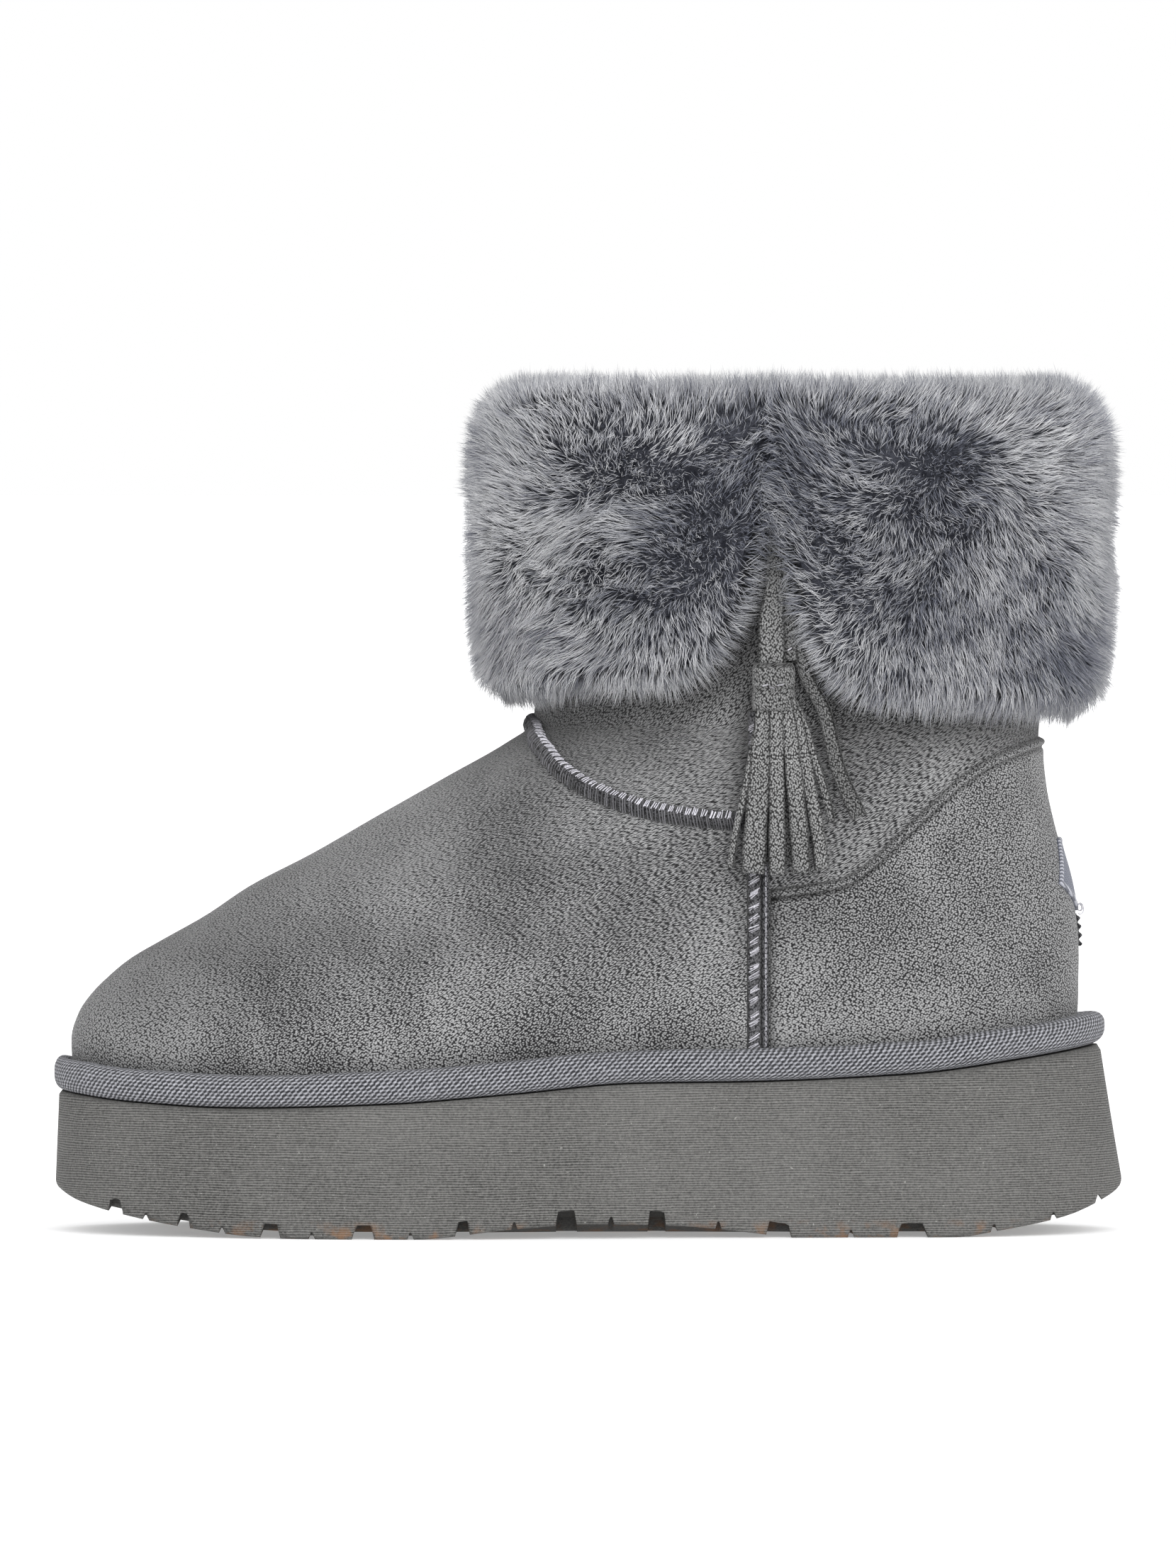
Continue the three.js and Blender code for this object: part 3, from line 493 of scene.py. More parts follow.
# Creases on the flex of the vamp and the ankle: place along the boot and height in millimetres, length and
# width of the trough, its depth, and its tilt in degrees. A negative depth is a ridge.
creases = [
    (-62, 74, 34, 7, 0.9, 35), (-48, 84, 30, 8, -0.8, 38), (-30, 92, 34, 9, 0.9, 42),
    (-84, 62, 26, 7, 0.6, 25), (-100, 60, 26, 9, 0.5, 12), (4, 98, 26, 8, 0.7, 30),
    (12, 76, 36, 12, 0.8, 62), (-8, 60, 40, 14, -0.7, 20), (74, 112, 28, 9, 0.9, 28),
    (88, 96, 30, 10, -0.7, 35), (92, 70, 34, 12, 0.7, 12), (66, 64, 30, 12, -0.6, 70),
    (0, 124, 26, 7, 0.8, 12), (22, 128, 30, 9, -0.6, 8),
]


def creaseDepth(x, z, side):
    total = np.zeros_like(x)
    for cx, cz, length, width, depth, tilt in creases:
        cx = cx + (0 if side < 0 else 5)
        c, s = math.cos(tilt * degree), math.sin(tilt * degree)
        u = (x - cx) * c + (z - cz) * s
        v = -(x - cx) * s + (z - cz) * c
        total += depth * np.exp(-((u / length) ** 2) - ((v / width) ** 2))
    return total


# Point of the creased skin, or at a distance out from it.
def bootSkin(turn, level, distance=0.0):
    point, out, around = upperFrame(turn, level)
    outer, inner = (creaseDepth(point[..., 0], point[..., 2], side) for side in (-1, 1))
    dent = mix(outer, inner, smooth(-12, 12, point[..., 1])) * smooth(0.03, 0.12, level)
    soft = softNoise(point[..., 0] / 24 + 9, point[..., 2] / 20 + point[..., 1] / 30 + 5, 11) * 0.45
    dent = dent + soft * smooth(0.04, 0.15, level) * (1 - smooth(0.55, 0.62, level))
    dent = dent * (1 - 0.7 * smooth(0.4, 0.8, out[..., 2]))
    return point + out * (np.asarray(distance) - dent)[..., None]


# Painted light and shade on the suede: sides are painted lighter and tops and the toe darker, as the light
# would fall on them, and the shaft is darker; painted shade at the foot, under the cuff's hem, beside the
# outer seam and beside the tassel.
def skinPaintedShade(point, out, turn, level):
    x, y, z = point[..., 0], point[..., 1], point[..., 2]
    # Painted light on the sides, painted shade on tops, at the foot and on the toe; the shaft is darker.
    tone = 1.2 - 0.5 * np.clip(out[..., 2], 0, 1) - 0.3 * smooth(0.42, 0.56, level)
    tone -= 0.2 * bell(level, 0.05, 0.03) + 0.25 * smooth(-60, -118, x)
    hem = boot["cuffTop"] - boot["cuffDrop"] * read(cuffForm, (turn / degree) % 360, "drop")
    # Painted shadow under the cuff's hem.
    tone -= 0.4 * bell(np.minimum(z - hem, 0), 0, 8)
    seamX, tasselX = placeAt(boot["sideSeam"]) - boot["sideSeamWidth"] / 2, placeAt(boot["tassel"])
    outer = y < 0
    # Painted shade beside the outer seam and beside the tassel.
    tone -= 0.35 * outer * bell(np.minimum(x - seamX, 0), 0, 4) * smooth(58, 84, z) * (x < seamX + 4)
    beside = bell(x, tasselX + 2, 13) * smooth(84, 98, z) * (1 - smooth(128, 150, z))
    return tone - 0.2 * outer * beside


# Grid of turns by levels: up the creased skin, over the rim and down the inner wall, closed both ways.
def makeUpper():
    turn = np.linspace(0, 2 * math.pi, upperLook["turns"], endpoint=False)
    outerLevel = np.linspace(0, 1, upperLook["levels"])
    innerLevel = np.linspace(1, 0, upperLook["insideLevels"])
    t, l = np.meshgrid(turn, outerLevel, indexing="ij")
    outside = bootSkin(t, l)
    ti, li = np.meshgrid(turn, innerLevel, indexing="ij")
    inside = upperPoint(ti, li, np.full(ti.shape, -boot["wall"]))
    rim = upperPoint(turn, np.ones_like(turn), np.full(turn.shape, -boot["wall"] / 2)) + [0, 0, 0.6]
    points = np.concatenate([outside, rim[:, None], inside], 1)
    shade = np.ones(points.shape[:2])
    # Painted light and shade on the outer skin only.
    shade[:, :upperLook["levels"]] = skinPaintedShade(outside, upperFrame(t, l)[1], t, l)
    faces = [gridFaces(points.shape[0], points.shape[1], True, True)]
    makeMesh("upperShell", points, faces, suedeMaterial, ("upper",), clothMap(points, True), shade)


makeUpper()
print("stage: upper ready")


# Platform: side wall with fine wavy ribs, a flat deck, and a tread with grooves and sipes.
grooves = dict(
    along=[0.06, 0.124, 0.205, 0.291, 0.383, 0.479, 0.563, 0.676, 0.8],
    width=[0.0133, 0.0115, 0.0183, 0.0205, 0.0133, 0.0194, 0.0165, 0.023, 0.028], reach=0.37,
)
sipes = [0.0885, 0.16, 0.2435, 0.335, 0.431, 0.5205, 0.62, 0.743, 0.876, 0.932, 0.975]


# How deep the tread is cut at a place: flat-bottomed grooves and V cuts, both in from the sides only.
def treadCut(x, inFromEdge, across):
    cut = np.zeros_like(x)
    reach = 1 - smooth(grooves["reach"] - 0.02, grooves["reach"] + 0.01, inFromEdge / across)
    for along, width in zip(grooves["along"], grooves["width"]):
        half = width * boot["soleLength"] / 2
        off = np.abs(x - placeAt(along))
        cut = np.maximum(cut, boot["lugDepth"] * np.clip((half - off) / (0.2 * half), 0, 1) * reach)
    reach = 1 - smooth(boot["sipeReach"] - 1.5, boot["sipeReach"], inFromEdge)
    for along in sipes:
        off = np.abs(x - placeAt(along))
        half = boot["sipeWidth"] / 2
        cut = np.maximum(cut, boot["sipeDepth"] * np.clip((half - off) / (0.7 * half), 0, 1) * reach)
    return cut


# Places along the sole where it gets a section: even steps, the walls of each cut, and closer at both ends.
def soleStations():
    marks = [placeAt(s) for s in np.linspace(0.002, 0.998, 90)]
    for along, width in zip(grooves["along"], grooves["width"]):
        half = width * boot["soleLength"] / 2
        marks += [placeAt(along) + sign * half * f for sign in (-1, 1) for f in (1.02, 0.99, 0.8, 0.4)]
    for along in sipes:
        half = boot["sipeWidth"] / 2
        marks += [placeAt(along) + sign * half * f for sign in (-1, 1) for f in (1.05, 0.95, 0.35, 0.25)]
        marks.append(placeAt(along))
    front, back = soleEnds(1.0, -boot["edgeRound"])
    ends = 0.5 * (1 - np.cos(np.linspace(0, math.pi / 2, 14)))
    marks += list(front + 16 * ends) + list(back - 16 * ends)
    marks = np.unique(np.round([m for m in marks if front <= m <= back], 3))
    keep = np.r_[True, np.diff(marks) > 0.04]
    return marks[keep]


# Wall: outlines from the deck down to the tread, its foot lifted where a cut comes through. Tread and deck:
# rows across from one side of the last or first outline to the other.
def makeSole():
    front, back = soleEnds(1.0, -boot["edgeRound"])
    marks = soleStations()
    turnOut = np.arccos(np.clip(1 - 2 * (marks - front) / (back - front), -1, 1))
    turn = np.r_[turnOut, 2 * math.pi - turnOut[-2:0:-1]]
    depths = np.r_[np.linspace(0, 0.93, 22), 0.955, 0.975, 0.99, 1.0]
    inset = boot["edgeRound"] * (1 - np.sqrt(np.clip(1 - np.clip((depths - 0.93) / 0.07, 0, 1) ** 2, 0, 1)))
    top = boot["edgeRound"] * 0.6 * (1 - np.clip(depths / 0.03, 0, 1)) ** 2
    rows = []
    for depth, grow in zip(depths, -inset - top):
        x, y = solePoint(turn, depth, grow)
        z = mix(deckHeight(x), treadHeight(x), depth)
        lip = z <= treadHeight(x) + boot["lugDepth"] + 0.2
        z = np.maximum(z, np.where(lip, treadHeight(x) + treadCut(x, np.zeros_like(x), np.ones_like(x)), z))
        rows.append(np.stack([x, y, z], -1))
    wall = np.stack(rows)
    count = len(turn)
    mirror = (-np.arange(count)) % count
    half = len(turnOut)
    acrossShare = np.r_[0, 0.1, 0.2, 0.3, 0.345, 0.37, 0.39, 0.5, 0.61, 0.63, 0.655, 0.7, 0.8, 0.9, 1]
    edge = wall[-1]
    left, right = edge[:half], edge[mirror[:half]]
    bottom = mix(left[:, None], right[:, None], acrossShare[None, :, None])
    width = np.abs(right[:, 1] - left[:, 1])
    inFrom = np.minimum(acrossShare[None], 1 - acrossShare[None]) * width[:, None]
    archRise = read(treadForm, shareOf(bottom[..., 0]), "arch") * boot["archRise"]
    inner = smooth(0.15, 0.35, inFrom / (width[:, None] + 0.1))  # the arch is lifted along the sides only
    cut = treadCut(bottom[..., 0], inFrom, width[:, None] + 0.1)
    bottom[..., 2] = treadHeight(bottom[..., 0]) - 0.9 * archRise * inner + cut
    top = mix(wall[0][:half, None], wall[0][mirror[:half], None], np.linspace(0, 1, 3)[None, :, None])
    parts = [(wall, [gridFaces(len(depths), count, closeColumns=True)]),
             (bottom, [gridFaces(half, len(acrossShare))[:, ::-1]]), (top, [gridFaces(half, 3)])]
    points, faces = join(parts)
    makeMesh("platformSole", points, faces, soleMaterial, ("sole",), welded=0.02)


# Fine wavy ribs along the side walls, about 0.6 mm apart, that break up here and there. Dirt on the lugs.
def makeSoleMaterial():
    material, tree, shader = newMaterial("ribbedFoam", 0.75, Specular_IOR_Level=0.3)
    place = objectPlace(tree)
    split = addNode(tree, "ShaderNodeSeparateXYZ", {"Vector": place})
    flat = addNode(tree, "ShaderNodeMapping", {"Vector": place, "Scale": (0.2, 0.2, 1.0)}).outputs[0]
    sway = noise(tree, flat, 260.0, 3.0, 0.6)
    grain = noise(tree, place, 1500.0, 3.0, 0.7)
    patch = noise(tree, place, 26.0, 3.0, 0.5)
    phase = calc(tree, "ADD", calc(tree, "MULTIPLY", split.outputs["Z"], 2 * math.pi / 0.00062),
                  calc(tree, "MULTIPLY", sway, 11.0))
    rib = calc(tree, "ADD", calc(tree, "MULTIPLY", calc(tree, "SINE", phase), 0.5), 0.5)
    normal = tree.nodes.new("ShaderNodeNewGeometry").outputs["Normal"]
    rise = calc(tree, "ABSOLUTE", addNode(tree, "ShaderNodeSeparateXYZ", {"Vector": normal}).outputs["Z"])
    rib = calc(tree, "MULTIPLY", rib, remap(tree, rise, 0.5, 0.8, 0.45, 0.0))
    height = calc(tree, "ADD", calc(tree, "ADD", rib, grain), remap(tree, rise, 0.5, 0.8, 0.0, 0.22))
    lit = calc(tree, "ADD", remap(tree, height, 0.35, 1.1), remap(tree, patch, 0.3, 0.7, -0.1, 0.02))
    color = blendColor(tree, lit, (0.018, 0.0178, 0.017, 1), (0.212, 0.209, 0.2, 1))
    color = blendColor(tree, remap(tree, patch, 0.35, 0.7, 0.0, 0.2), color, (0.15, 0.148, 0.143, 1))
    flecks = remap(tree, noise(tree, place, 1300.0, 1.0, 0.5), 0.735, 0.8)
    color = blendColor(tree, calc(tree, "MULTIPLY", flecks, 0.5), color, (0.42, 0.42, 0.4, 1))
    low = remap(tree, split.outputs["Z"], 0.005, 0.0012)
    stain = remap(tree, noise(tree, place, 170.0, 3.0, 0.6), 0.5, 0.64, 0.0, 0.75)
    dirt = calc(tree, "MULTIPLY", low, stain)
    color = blendColor(tree, dirt, color, (0.22, 0.12, 0.062, 1))
    tree.links.new(color, shader.inputs["Base Color"])
    bumpTo(tree, shader, height, 0.7, 0.0004)
    return material


soleMaterial = makeSoleMaterial()
makeSole()
print("stage: sole ready")


# Binding: a rolled herringbone tape whose section runs from the upper's foot over to the platform's edge.
bindingLook = dict(around=420, rollSteps=24)


# Section of the roll: a squared circle from the upper over the top and down to the platform's edge, in
# shares of the way out and of the tape's height.
def bindingSection(count):
    angle = np.linspace(math.pi * 0.985, -math.pi * 0.5, count)
    across = 0.44 + 0.56 * np.sign(np.cos(angle)) * np.abs(np.cos(angle)) ** 0.75
    up = 0.5 + 0.5 * np.sign(np.sin(angle)) * np.abs(np.sin(angle)) ** 0.8
    return across, up


# The section is carried round the boot, between the skin's foot and the platform's outline at each turn.
def makeBinding():
    turn = np.linspace(0, 2 * math.pi, bindingLook["around"], endpoint=False)
    across, up = bindingSection(bindingLook["rollSteps"])
    across, up = np.r_[across, -0.12, -0.12], np.r_[up, 0.0, 0.5]
    edgeX, edgeY = solePoint(turn, 0.0, boot["bindingProud"])
    foot = upperFace(turn, np.zeros_like(turn))
    level = up[None, :] * boot["bindingHeight"] / (boot["rimHeight"] - foot[:, None, 2])
    inside = bootSkin(np.repeat(turn[:, None], len(up), 1), np.clip(level, 0, 1), 0.15)
    x = mix(inside[..., 0], edgeX[:, None], across)
    y = mix(inside[..., 1], edgeY[:, None], across)
    wobble = softNoise(turn[:, None] * 9 + 3, up[None] * 2 + 1, 5) * 0.22
    z = deckHeight(x) + boot["gap"] + up[None] * (boot["bindingHeight"] + wobble)
    points = np.stack([x, y, z], -1)
    middle = points[:, bindingLook["rollSteps"] // 2]
    length = np.r_[0, np.cumsum(np.linalg.norm(np.diff(middle, axis=0), axis=1))]
    rollLength = np.r_[0, np.cumsum(np.linalg.norm(np.diff(points[40], axis=0), axis=1))]
    uv = np.stack(np.broadcast_arrays(length[:, None], rollLength[None]), -1)
    faces = gridFaces(len(turn), len(up), True, True)
    makeMesh("bindingTape", points, [faces], tapeMaterial, ("welt_binding",), uv)


# Herringbone: rows of pale dashes, each row set on from the last, that turn back half way down the tape. The
# UV map is in millimetres along and over the tape.
def makeTapeMaterial():
    material, tree, shader = newMaterial("herringboneTape", 0.75, Sheen_Weight=0.1, Specular_IOR_Level=0.25)
    uv = addNode(tree, "ShaderNodeUVMap", uv_map="pattern").outputs[0]
    split = addNode(tree, "ShaderNodeSeparateXYZ", {"Vector": uv})
    along, over = split.outputs["X"], split.outputs["Y"]
    wobble = calc(tree, "MULTIPLY", noise(tree, uv, 0.35, 2.0), 0.9)
    folded = calc(tree, "ABSOLUTE", calc(tree, "SUBTRACT", over, 5.2))
    phase = calc(tree, "ADD", calc(tree, "ADD", along, calc(tree, "MULTIPLY", folded, 0.95)), wobble)
    dash = calc(tree, "SINE", calc(tree, "MULTIPLY", phase, 2 * math.pi / 1.5))
    row = calc(tree, "SINE", calc(tree, "MULTIPLY", over, 2 * math.pi / 0.95))
    weave = calc(tree, "ADD", calc(tree, "MULTIPLY", dash, 0.6), calc(tree, "MULTIPLY", row, 0.4))
    fuzz = noise(tree, objectPlace(tree), 1600.0, 3.0, 0.7)
    height = calc(tree, "ADD", weave, calc(tree, "MULTIPLY", calc(tree, "SUBTRACT", fuzz, 0.5), 2.6))
    patch = noise(tree, objectPlace(tree), 60.0, 2.0, 0.5)
    lit = remap(tree, height, -0.42, 0.85)
    color = blendColor(tree, lit, (0.018, 0.019, 0.024, 1), (0.49, 0.495, 0.535, 1))
    color = blendColor(tree, remap(tree, patch, 0.3, 0.7, 0.0, 0.12), color, (0.17, 0.172, 0.19, 1))
    broken = remap(tree, noise(tree, uv, 1.1, 2.0), 0.42, 0.6)
    frayed = calc(tree, "MULTIPLY", remap(tree, over, 1.9, 1.2), broken)
    color = blendColor(tree, calc(tree, "MULTIPLY", frayed, 0.7), color, (0.5, 0.5, 0.54, 1))
    tree.links.new(color, shader.inputs["Base Color"])
    bumpTo(tree, shader, height, 0.8, 0.0005)
    return material


tapeMaterial = makeTapeMaterial()
makeBinding()
print("stage: binding ready")


# Heel quarter: a thin panel over the shaft behind the side seams, its top edge turned and topstitched.
quarterForm = dict(
    turn=[0, 0.145, 0.204, 0.292, 0.383, 0.502, 0.644, 0.84, 1],
    level=[0.2986, 0.3125, 0.335, 0.38, 0.422, 0.4695, 0.497, 0.511, 0.514],
)
quarterLook = dict(columns=170, rows=46, edgeRows=14, edgeRoll=1.1, stitchIn=2.4, stitchDip=0.55, buried=0.5)


# Column runs from seam to seam by the heel (-1 to 1), rise from the binding up to the curved top edge.
def quarterPlace(column, rise):
    start = placeAt(boot["sideSeam"]) + boot["sideSeamWidth"] / 2 + boot["gap"]
    share = 1 - np.abs(column)
    foot = (boot["bindingHeight"] * 0.6) / (boot["rimHeight"] - deckHeight(start))
    top = read(quarterForm, share, "level")
    level = mix(foot, top, rise)
    turn = mix(turnAt(start, level), math.pi, share)
    return np.where(column < 0, turn, 2 * math.pi - turn), level


# The skin pushed out by the panel's thickness, which rolls to nothing at the top edge and dips at a line of
# stitches.
def makeQuarter():
    column = np.linspace(-1, 1, quarterLook["columns"])
    edgeRows = quarterLook["edgeRows"]
    rise = np.r_[np.linspace(0, 0.9, quarterLook["rows"] - edgeRows), np.linspace(0.91, 1, edgeRows)]
    c, r = np.meshgrid(column, rise, indexing="ij")
    turn, level = quarterPlace(c, r)
    height = boot["rimHeight"] - boot["heelHeight"]
    toEdge = (1 - r) * (read(quarterForm, 1 - np.abs(c), "level") - 0.03) * height
    sideEdge = (1 - np.abs(c)) * 95
    roll = np.sqrt(np.clip(1 - (1 - np.clip(toEdge / quarterLook["edgeRoll"], 0, 1)) ** 2, 0, 1))
    groove = quarterLook["stitchDip"] * bell(toEdge, quarterLook["stitchIn"], 0.55)
    groove = groove * smooth(0, 0.3, 1 - np.abs(c) + 0.2)
    thick = boot["quarterThick"] * roll + 0.15 - groove + 0.35 * bell(toEdge, 1.2, 0.7)
    outside = bootSkin(turn, level, boot["gap"] * 0.3 + thick)
    inside = bootSkin(turn, level, -quarterLook["buried"])
    points = np.concatenate([outside, inside[:, ::-1]], 1)
    # Painted light and shade: the panel a little lighter, dark lines in the stitch groove and under the top
    # edge, dark along the side edges and at the foot, and painted shade below the top edge beside the outer
    # seam.
    shade = 1.08 - 0.62 * bell(toEdge, quarterLook["stitchIn"], 0.7) - 0.5 * bell(toEdge, 0, 0.6)
    shade -= 0.4 * bell(sideEdge, 0, 1.3) + 0.2 * bell(level, 0.05, 0.02)
    shade -= 0.3 * bell(sideEdge, 4, 11) * bell(toEdge, 6, 8) * (c < 0)
    shade = np.concatenate([shade, np.ones_like(shade)], 1)
    makeMesh("heelQuarterPanel", points, tubeFaces(*points.shape[:2]), suedeMaterial,
             ("heel_quarter",), clothMap(points), shade, 0.001)


makeQuarter()
print("stage: heel quarter ready")


# Overlocked seams: a rounded cord of folded suede on the upper, wrapped by slanted threads.
seamLook = dict(instepWidth=4.8, sideWidth=5.7, height=2.0)
# Threads over the seams. Start and end are places across as shares of the seam's width, and rise is a share
# of its height. Pitch is from group to group, gap from thread to thread and slant along the seam. Loose is
# how far groups stray, as a share of their pitch, and fade how far tones darken in the seam's middle.
seamThreads = dict(
    instepWraps=dict(start=-0.5, end=0.5, rise=1.0, pitch=0.8, inGroup=1, gap=0.3, slant=1.5, radius=0.17,
                     tones=(0.07, 0.2), loose=0.2, fade=0.6),
    instepLoops=dict(start=-0.5, end=-0.16, rise=1.05, pitch=2.15, inGroup=3, gap=0.5, slant=-0.5,
                     radius=0.15, tones=(0.7, 1), loose=0.08, fade=0.9),
    sideWraps=dict(start=-0.42, end=0.02, rise=0.85, pitch=1.1, inGroup=1, gap=0.3, slant=1.3, radius=0.13,
                   tones=(0.07, 0.2), loose=0.2, fade=0.0),
    sideLoops=dict(start=-0.4, end=0.0, rise=0.9, pitch=3.1, inGroup=4, gap=0.34, slant=1.3, radius=0.14,
                   tones=(0.3, 0.9), loose=0.2, fade=0.0),
)
# Running stitches on a side seam's back edge: place across, lift, pitch, length of a stitch and its radius.
stitchLook = dict(side=0.34, lift=1.0, pitch=1.35, bead=0.85, radius=0.13, tones=(0.45, 0.95))
instepForm = dict(
    turn=[0, 0.12, 0.37, 0.53, 0.67, 0.78, 0.87, 1],
    level=[0.56, 0.553, 0.519, 0.487, 0.454, 0.43, 0.415, 0.404],
)


# Frames along a path on the boot's skin: point, outward direction, and direction across the path.
def pathFrames(turn, level):
    point = bootSkin(turn, level)
    ahead = unit(np.gradient(point, axis=0))
    _, out, _ = upperFrame(turn, level)
    return point, out, unit(np.cross(ahead, out))


# Length of a path, and a reader of its point and directions at places along it.
def pathReader(path):
    frames = pathFrames(*path)
    run = np.r_[0, np.cumsum(np.linalg.norm(np.diff(frames[0], axis=0), axis=1))]

    def frameAt(at):
        return [np.stack([np.interp(at, run, axis) for axis in values.T], -1) for values in frames]

    return run[-1], frameAt


# A ridge along a path. Its profile gives places across and up, as shares of its width and height; dark is
# the painted shade of each place of the profile.
def makeRidge(name, path, width, height, nodes, profile, lumps=0.08):
    point, out, across = pathFrames(*path)
    side, up, dark = (np.array(column) for column in profile)
    run = np.r_[0, np.cumsum(np.linalg.norm(np.diff(point, axis=0), axis=1))]
    uneven = 1 + lumps * (np.sin(run * 2.9) + 0.7 * softNoise(run / 3, np.full_like(run, 3), 6))[:, None]
    ring = point[:, None] + across[:, None] * (side * width)[None, :, None]
    ring = ring + out[:, None] * (up[None] * height * uneven)[..., None]
    shade = np.broadcast_to(dark, (len(run), len(side)))
    faces = tubeFaces(len(run), len(side))
    makeMesh(name, ring, faces, pipingMaterial, nodes, clothMap(ring), shade, 0.001)


# Half circle with painted shade: dark at its feet and darker on the side that lies in the fold.
def roundProfile(steps=14):
    angle = np.linspace(math.pi, 0, steps)
    side, up = 0.5 * np.cos(angle), np.sin(angle) ** 0.8
    dark = 0.15 + 0.75 * np.sin(angle) * (0.55 - 0.45 * np.cos(angle))
    return np.r_[side, 0.56, -0.56], np.r_[up, -0.35, -0.35], np.r_[dark, 0.3, 0.3]


# Side seam: an overlocked fold in front and a narrow topstitched edge behind it, with painted shade in the
# gaps beside both.
def sideProfile(sign=1):
    side = np.array([-0.52, -0.47, -0.4, -0.26, -0.08, 0.04, 0.12, 0.17, 0.22, 0.3, 0.38, 0.45, 0.5, 0.52,
                     -0.52])
    up = np.array([-0.1, 0.3, 0.62, 0.85, 0.82, 0.62, 0.3, 0.16, 0.34, 0.5, 0.5, 0.34, 0.1, -0.35, -0.35])
    dark = np.array([0.15, 0.3, 0.8, 1.1, 1.1, 0.9, 0.4, 0.25, 0.8, 1.5, 1.5, 0.9, 0.25, 0.3, 0.3])
    return (side, up, dark) if sign > 0 else (-side[::-1], up[::-1], dark[::-1])


# Threads over a seam, in groups: each runs slanting over the ridge in an arch. Sign -1 turns them round.
def makeThreads(path, seed, width, look, sign=1):
    length, frameAt = pathReader(path)
    rng = np.random.default_rng(seed)
    groups = np.arange(0.6, length - look["inGroup"] * look["gap"] - 0.6, look["pitch"])
    groups = groups + rng.uniform(-look["loose"], look["loose"], len(groups)) * look["pitch"]
    starts = groups[:, None] + np.arange(look["inGroup"]) * look["gap"]
    starts = (starts + rng.normal(0, 0.08, starts.shape)).reshape(-1)
    count = len(starts)
    share = np.linspace(0, 1, 6)[None]
    at = starts[:, None] + look["slant"] * (share - 0.5) * rng.uniform(0.7, 1.3, (count, 1))
    first = sign * look["start"] + rng.uniform(-0.05, 0.05, (count, 1))
    last = sign * look["end"] + rng.uniform(-0.05, 0.05, (count, 1))
    place, outward, sideways = frameAt(at)
    side = mix(first, last, share)
    over = np.sqrt(np.clip(1 - (side / 0.53) ** 2, 0.02, 1))
    arch = look["rise"] * seamLook["height"] * over + 0.08
    drawn = place + unit(sideways) * (side * width)[..., None] + unit(outward) * arch[..., None]
    radius = np.full(drawn.shape[:2], look["radius"]) * rng.uniform(0.8, 1.15, (count, 1))
    points, faces = tubes(drawn, radius)
    faded = mix(1, smooth(4, 22, np.abs(starts - length / 2)), look["fade"])
    return points, faces, np.repeat(rng.uniform(*look["tones"], count) * faded, 6 * 6)


# Running stitches: short beads end to end along a path.
def makeTopstitch(path, sign):
    length, frameAt = pathReader(path)
    starts = np.arange(0.5, length - stitchLook["pitch"], stitchLook["pitch"])
    rng = np.random.default_rng(len(starts))
    share = np.linspace(0, 1, 4)[None]
    place, outward, sideways = frameAt(starts[:, None] + share * stitchLook["bead"])
    side = sign * stitchLook["side"] * seamLook["sideWidth"]
    arch = stitchLook["lift"] + np.sin(math.pi * share) * 0.2 - 0.06
    drawn = place + sideways * side + outward * arch[..., None]
    points, faces = tubes(drawn, np.full(drawn.shape[:2], stitchLook["radius"]))
    return points, faces, np.repeat(rng.uniform(*stitchLook["tones"], len(starts)), 4 * 6)


# Parts are (points, faces, tones) of threads that become one piece.
def makeThreadPiece(name, parts):
    points, faces = join([part[:2] for part in parts])
    tone = np.concatenate([part[2] for part in parts])
    makeMesh(name, points, faces, threadMaterial, shade=tone)


# Path of the instep seam from side seam to side seam round the front, and of a side seam straight up.
def instepPath(count=260):
    share = np.linspace(-1, 1, count)
    level = read(instepForm, np.abs(share), "level")
    edge = placeAt(boot["sideSeam"]) - boot["sideSeamWidth"] / 2 - 0.4
    turn = share * turnAt(np.array(edge), np.array(instepForm["level"][-1]))
    return np.where(turn < 0, turn + 2 * math.pi, turn), level


def sidePath(sign, topLevel, count=120):
    x = placeAt(boot["sideSeam"])
    foot = (boot["bindingHeight"] * 0.85) / (boot["rimHeight"] - deckHeight(x))
    level = np.linspace(foot, topLevel, count)
    turn = turnAt(np.full(count, x), level)
    return (turn if sign > 0 else 2 * math.pi - turn), level


def makeSeams():
    x = placeAt(boot["sideSeam"])
    instep = instepPath()
    outer = sidePath(1, levelAt(x, boot["headTop"] - boot["headHeight"] - 0.4))
    inner = sidePath(-1, levelAt(x, boot["cuffTop"] - boot["cuffDrop"]))
    wide, side, high = seamLook["instepWidth"], seamLook["sideWidth"], seamLook["height"]
    makeRidge("instepCord", instep, wide, high, ("instep_seam",), roundProfile())
    makeRidge("sideCordOuter", outer, side, high, ("side_seam_outer",), sideProfile())
    makeRidge("sideCordInner", inner, side, high, ("side_seam_inner",), sideProfile(-1))
    makeThreadPiece("instepThreads", [makeThreads(instep, 1, wide, seamThreads["instepWraps"]),
                                      makeThreads(instep, 2, wide, seamThreads["instepLoops"])])
    sideParts = []
    for path, sign, seed in ((outer, 1, 3), (inner, -1, 5)):
        sideParts.append(makeThreads(path, seed, side, seamThreads["sideWraps"], sign))
        sideParts.append(makeThreads(path, seed + 1, side, seamThreads["sideLoops"], sign))
        sideParts.append(makeTopstitch(path, sign))
    makeThreadPiece("sideThreads", sideParts)


makeSeams()
print("stage: seams ready")


# Fur: hairs in clumps on the cuff's face, over its fold and down inside the collar.
furLook = dict(
    around=170, down=46, batches=4, hairs=28500, girth=430.0, height=190.0,
    backing=0.7, keptDown=6.6, hemUp=7.6,  # how far the hairs' ground keeps inside the cuff's own form
    slit=85.5, keptBack=3.0, hemAtSlit=0.3, slitReach=(4, 17),  # the slit, in degrees round the shaft
    foldEnd=(0.72, 0.8), liningFrom=0.86, liningOut=0.75, liningDip=8,
)
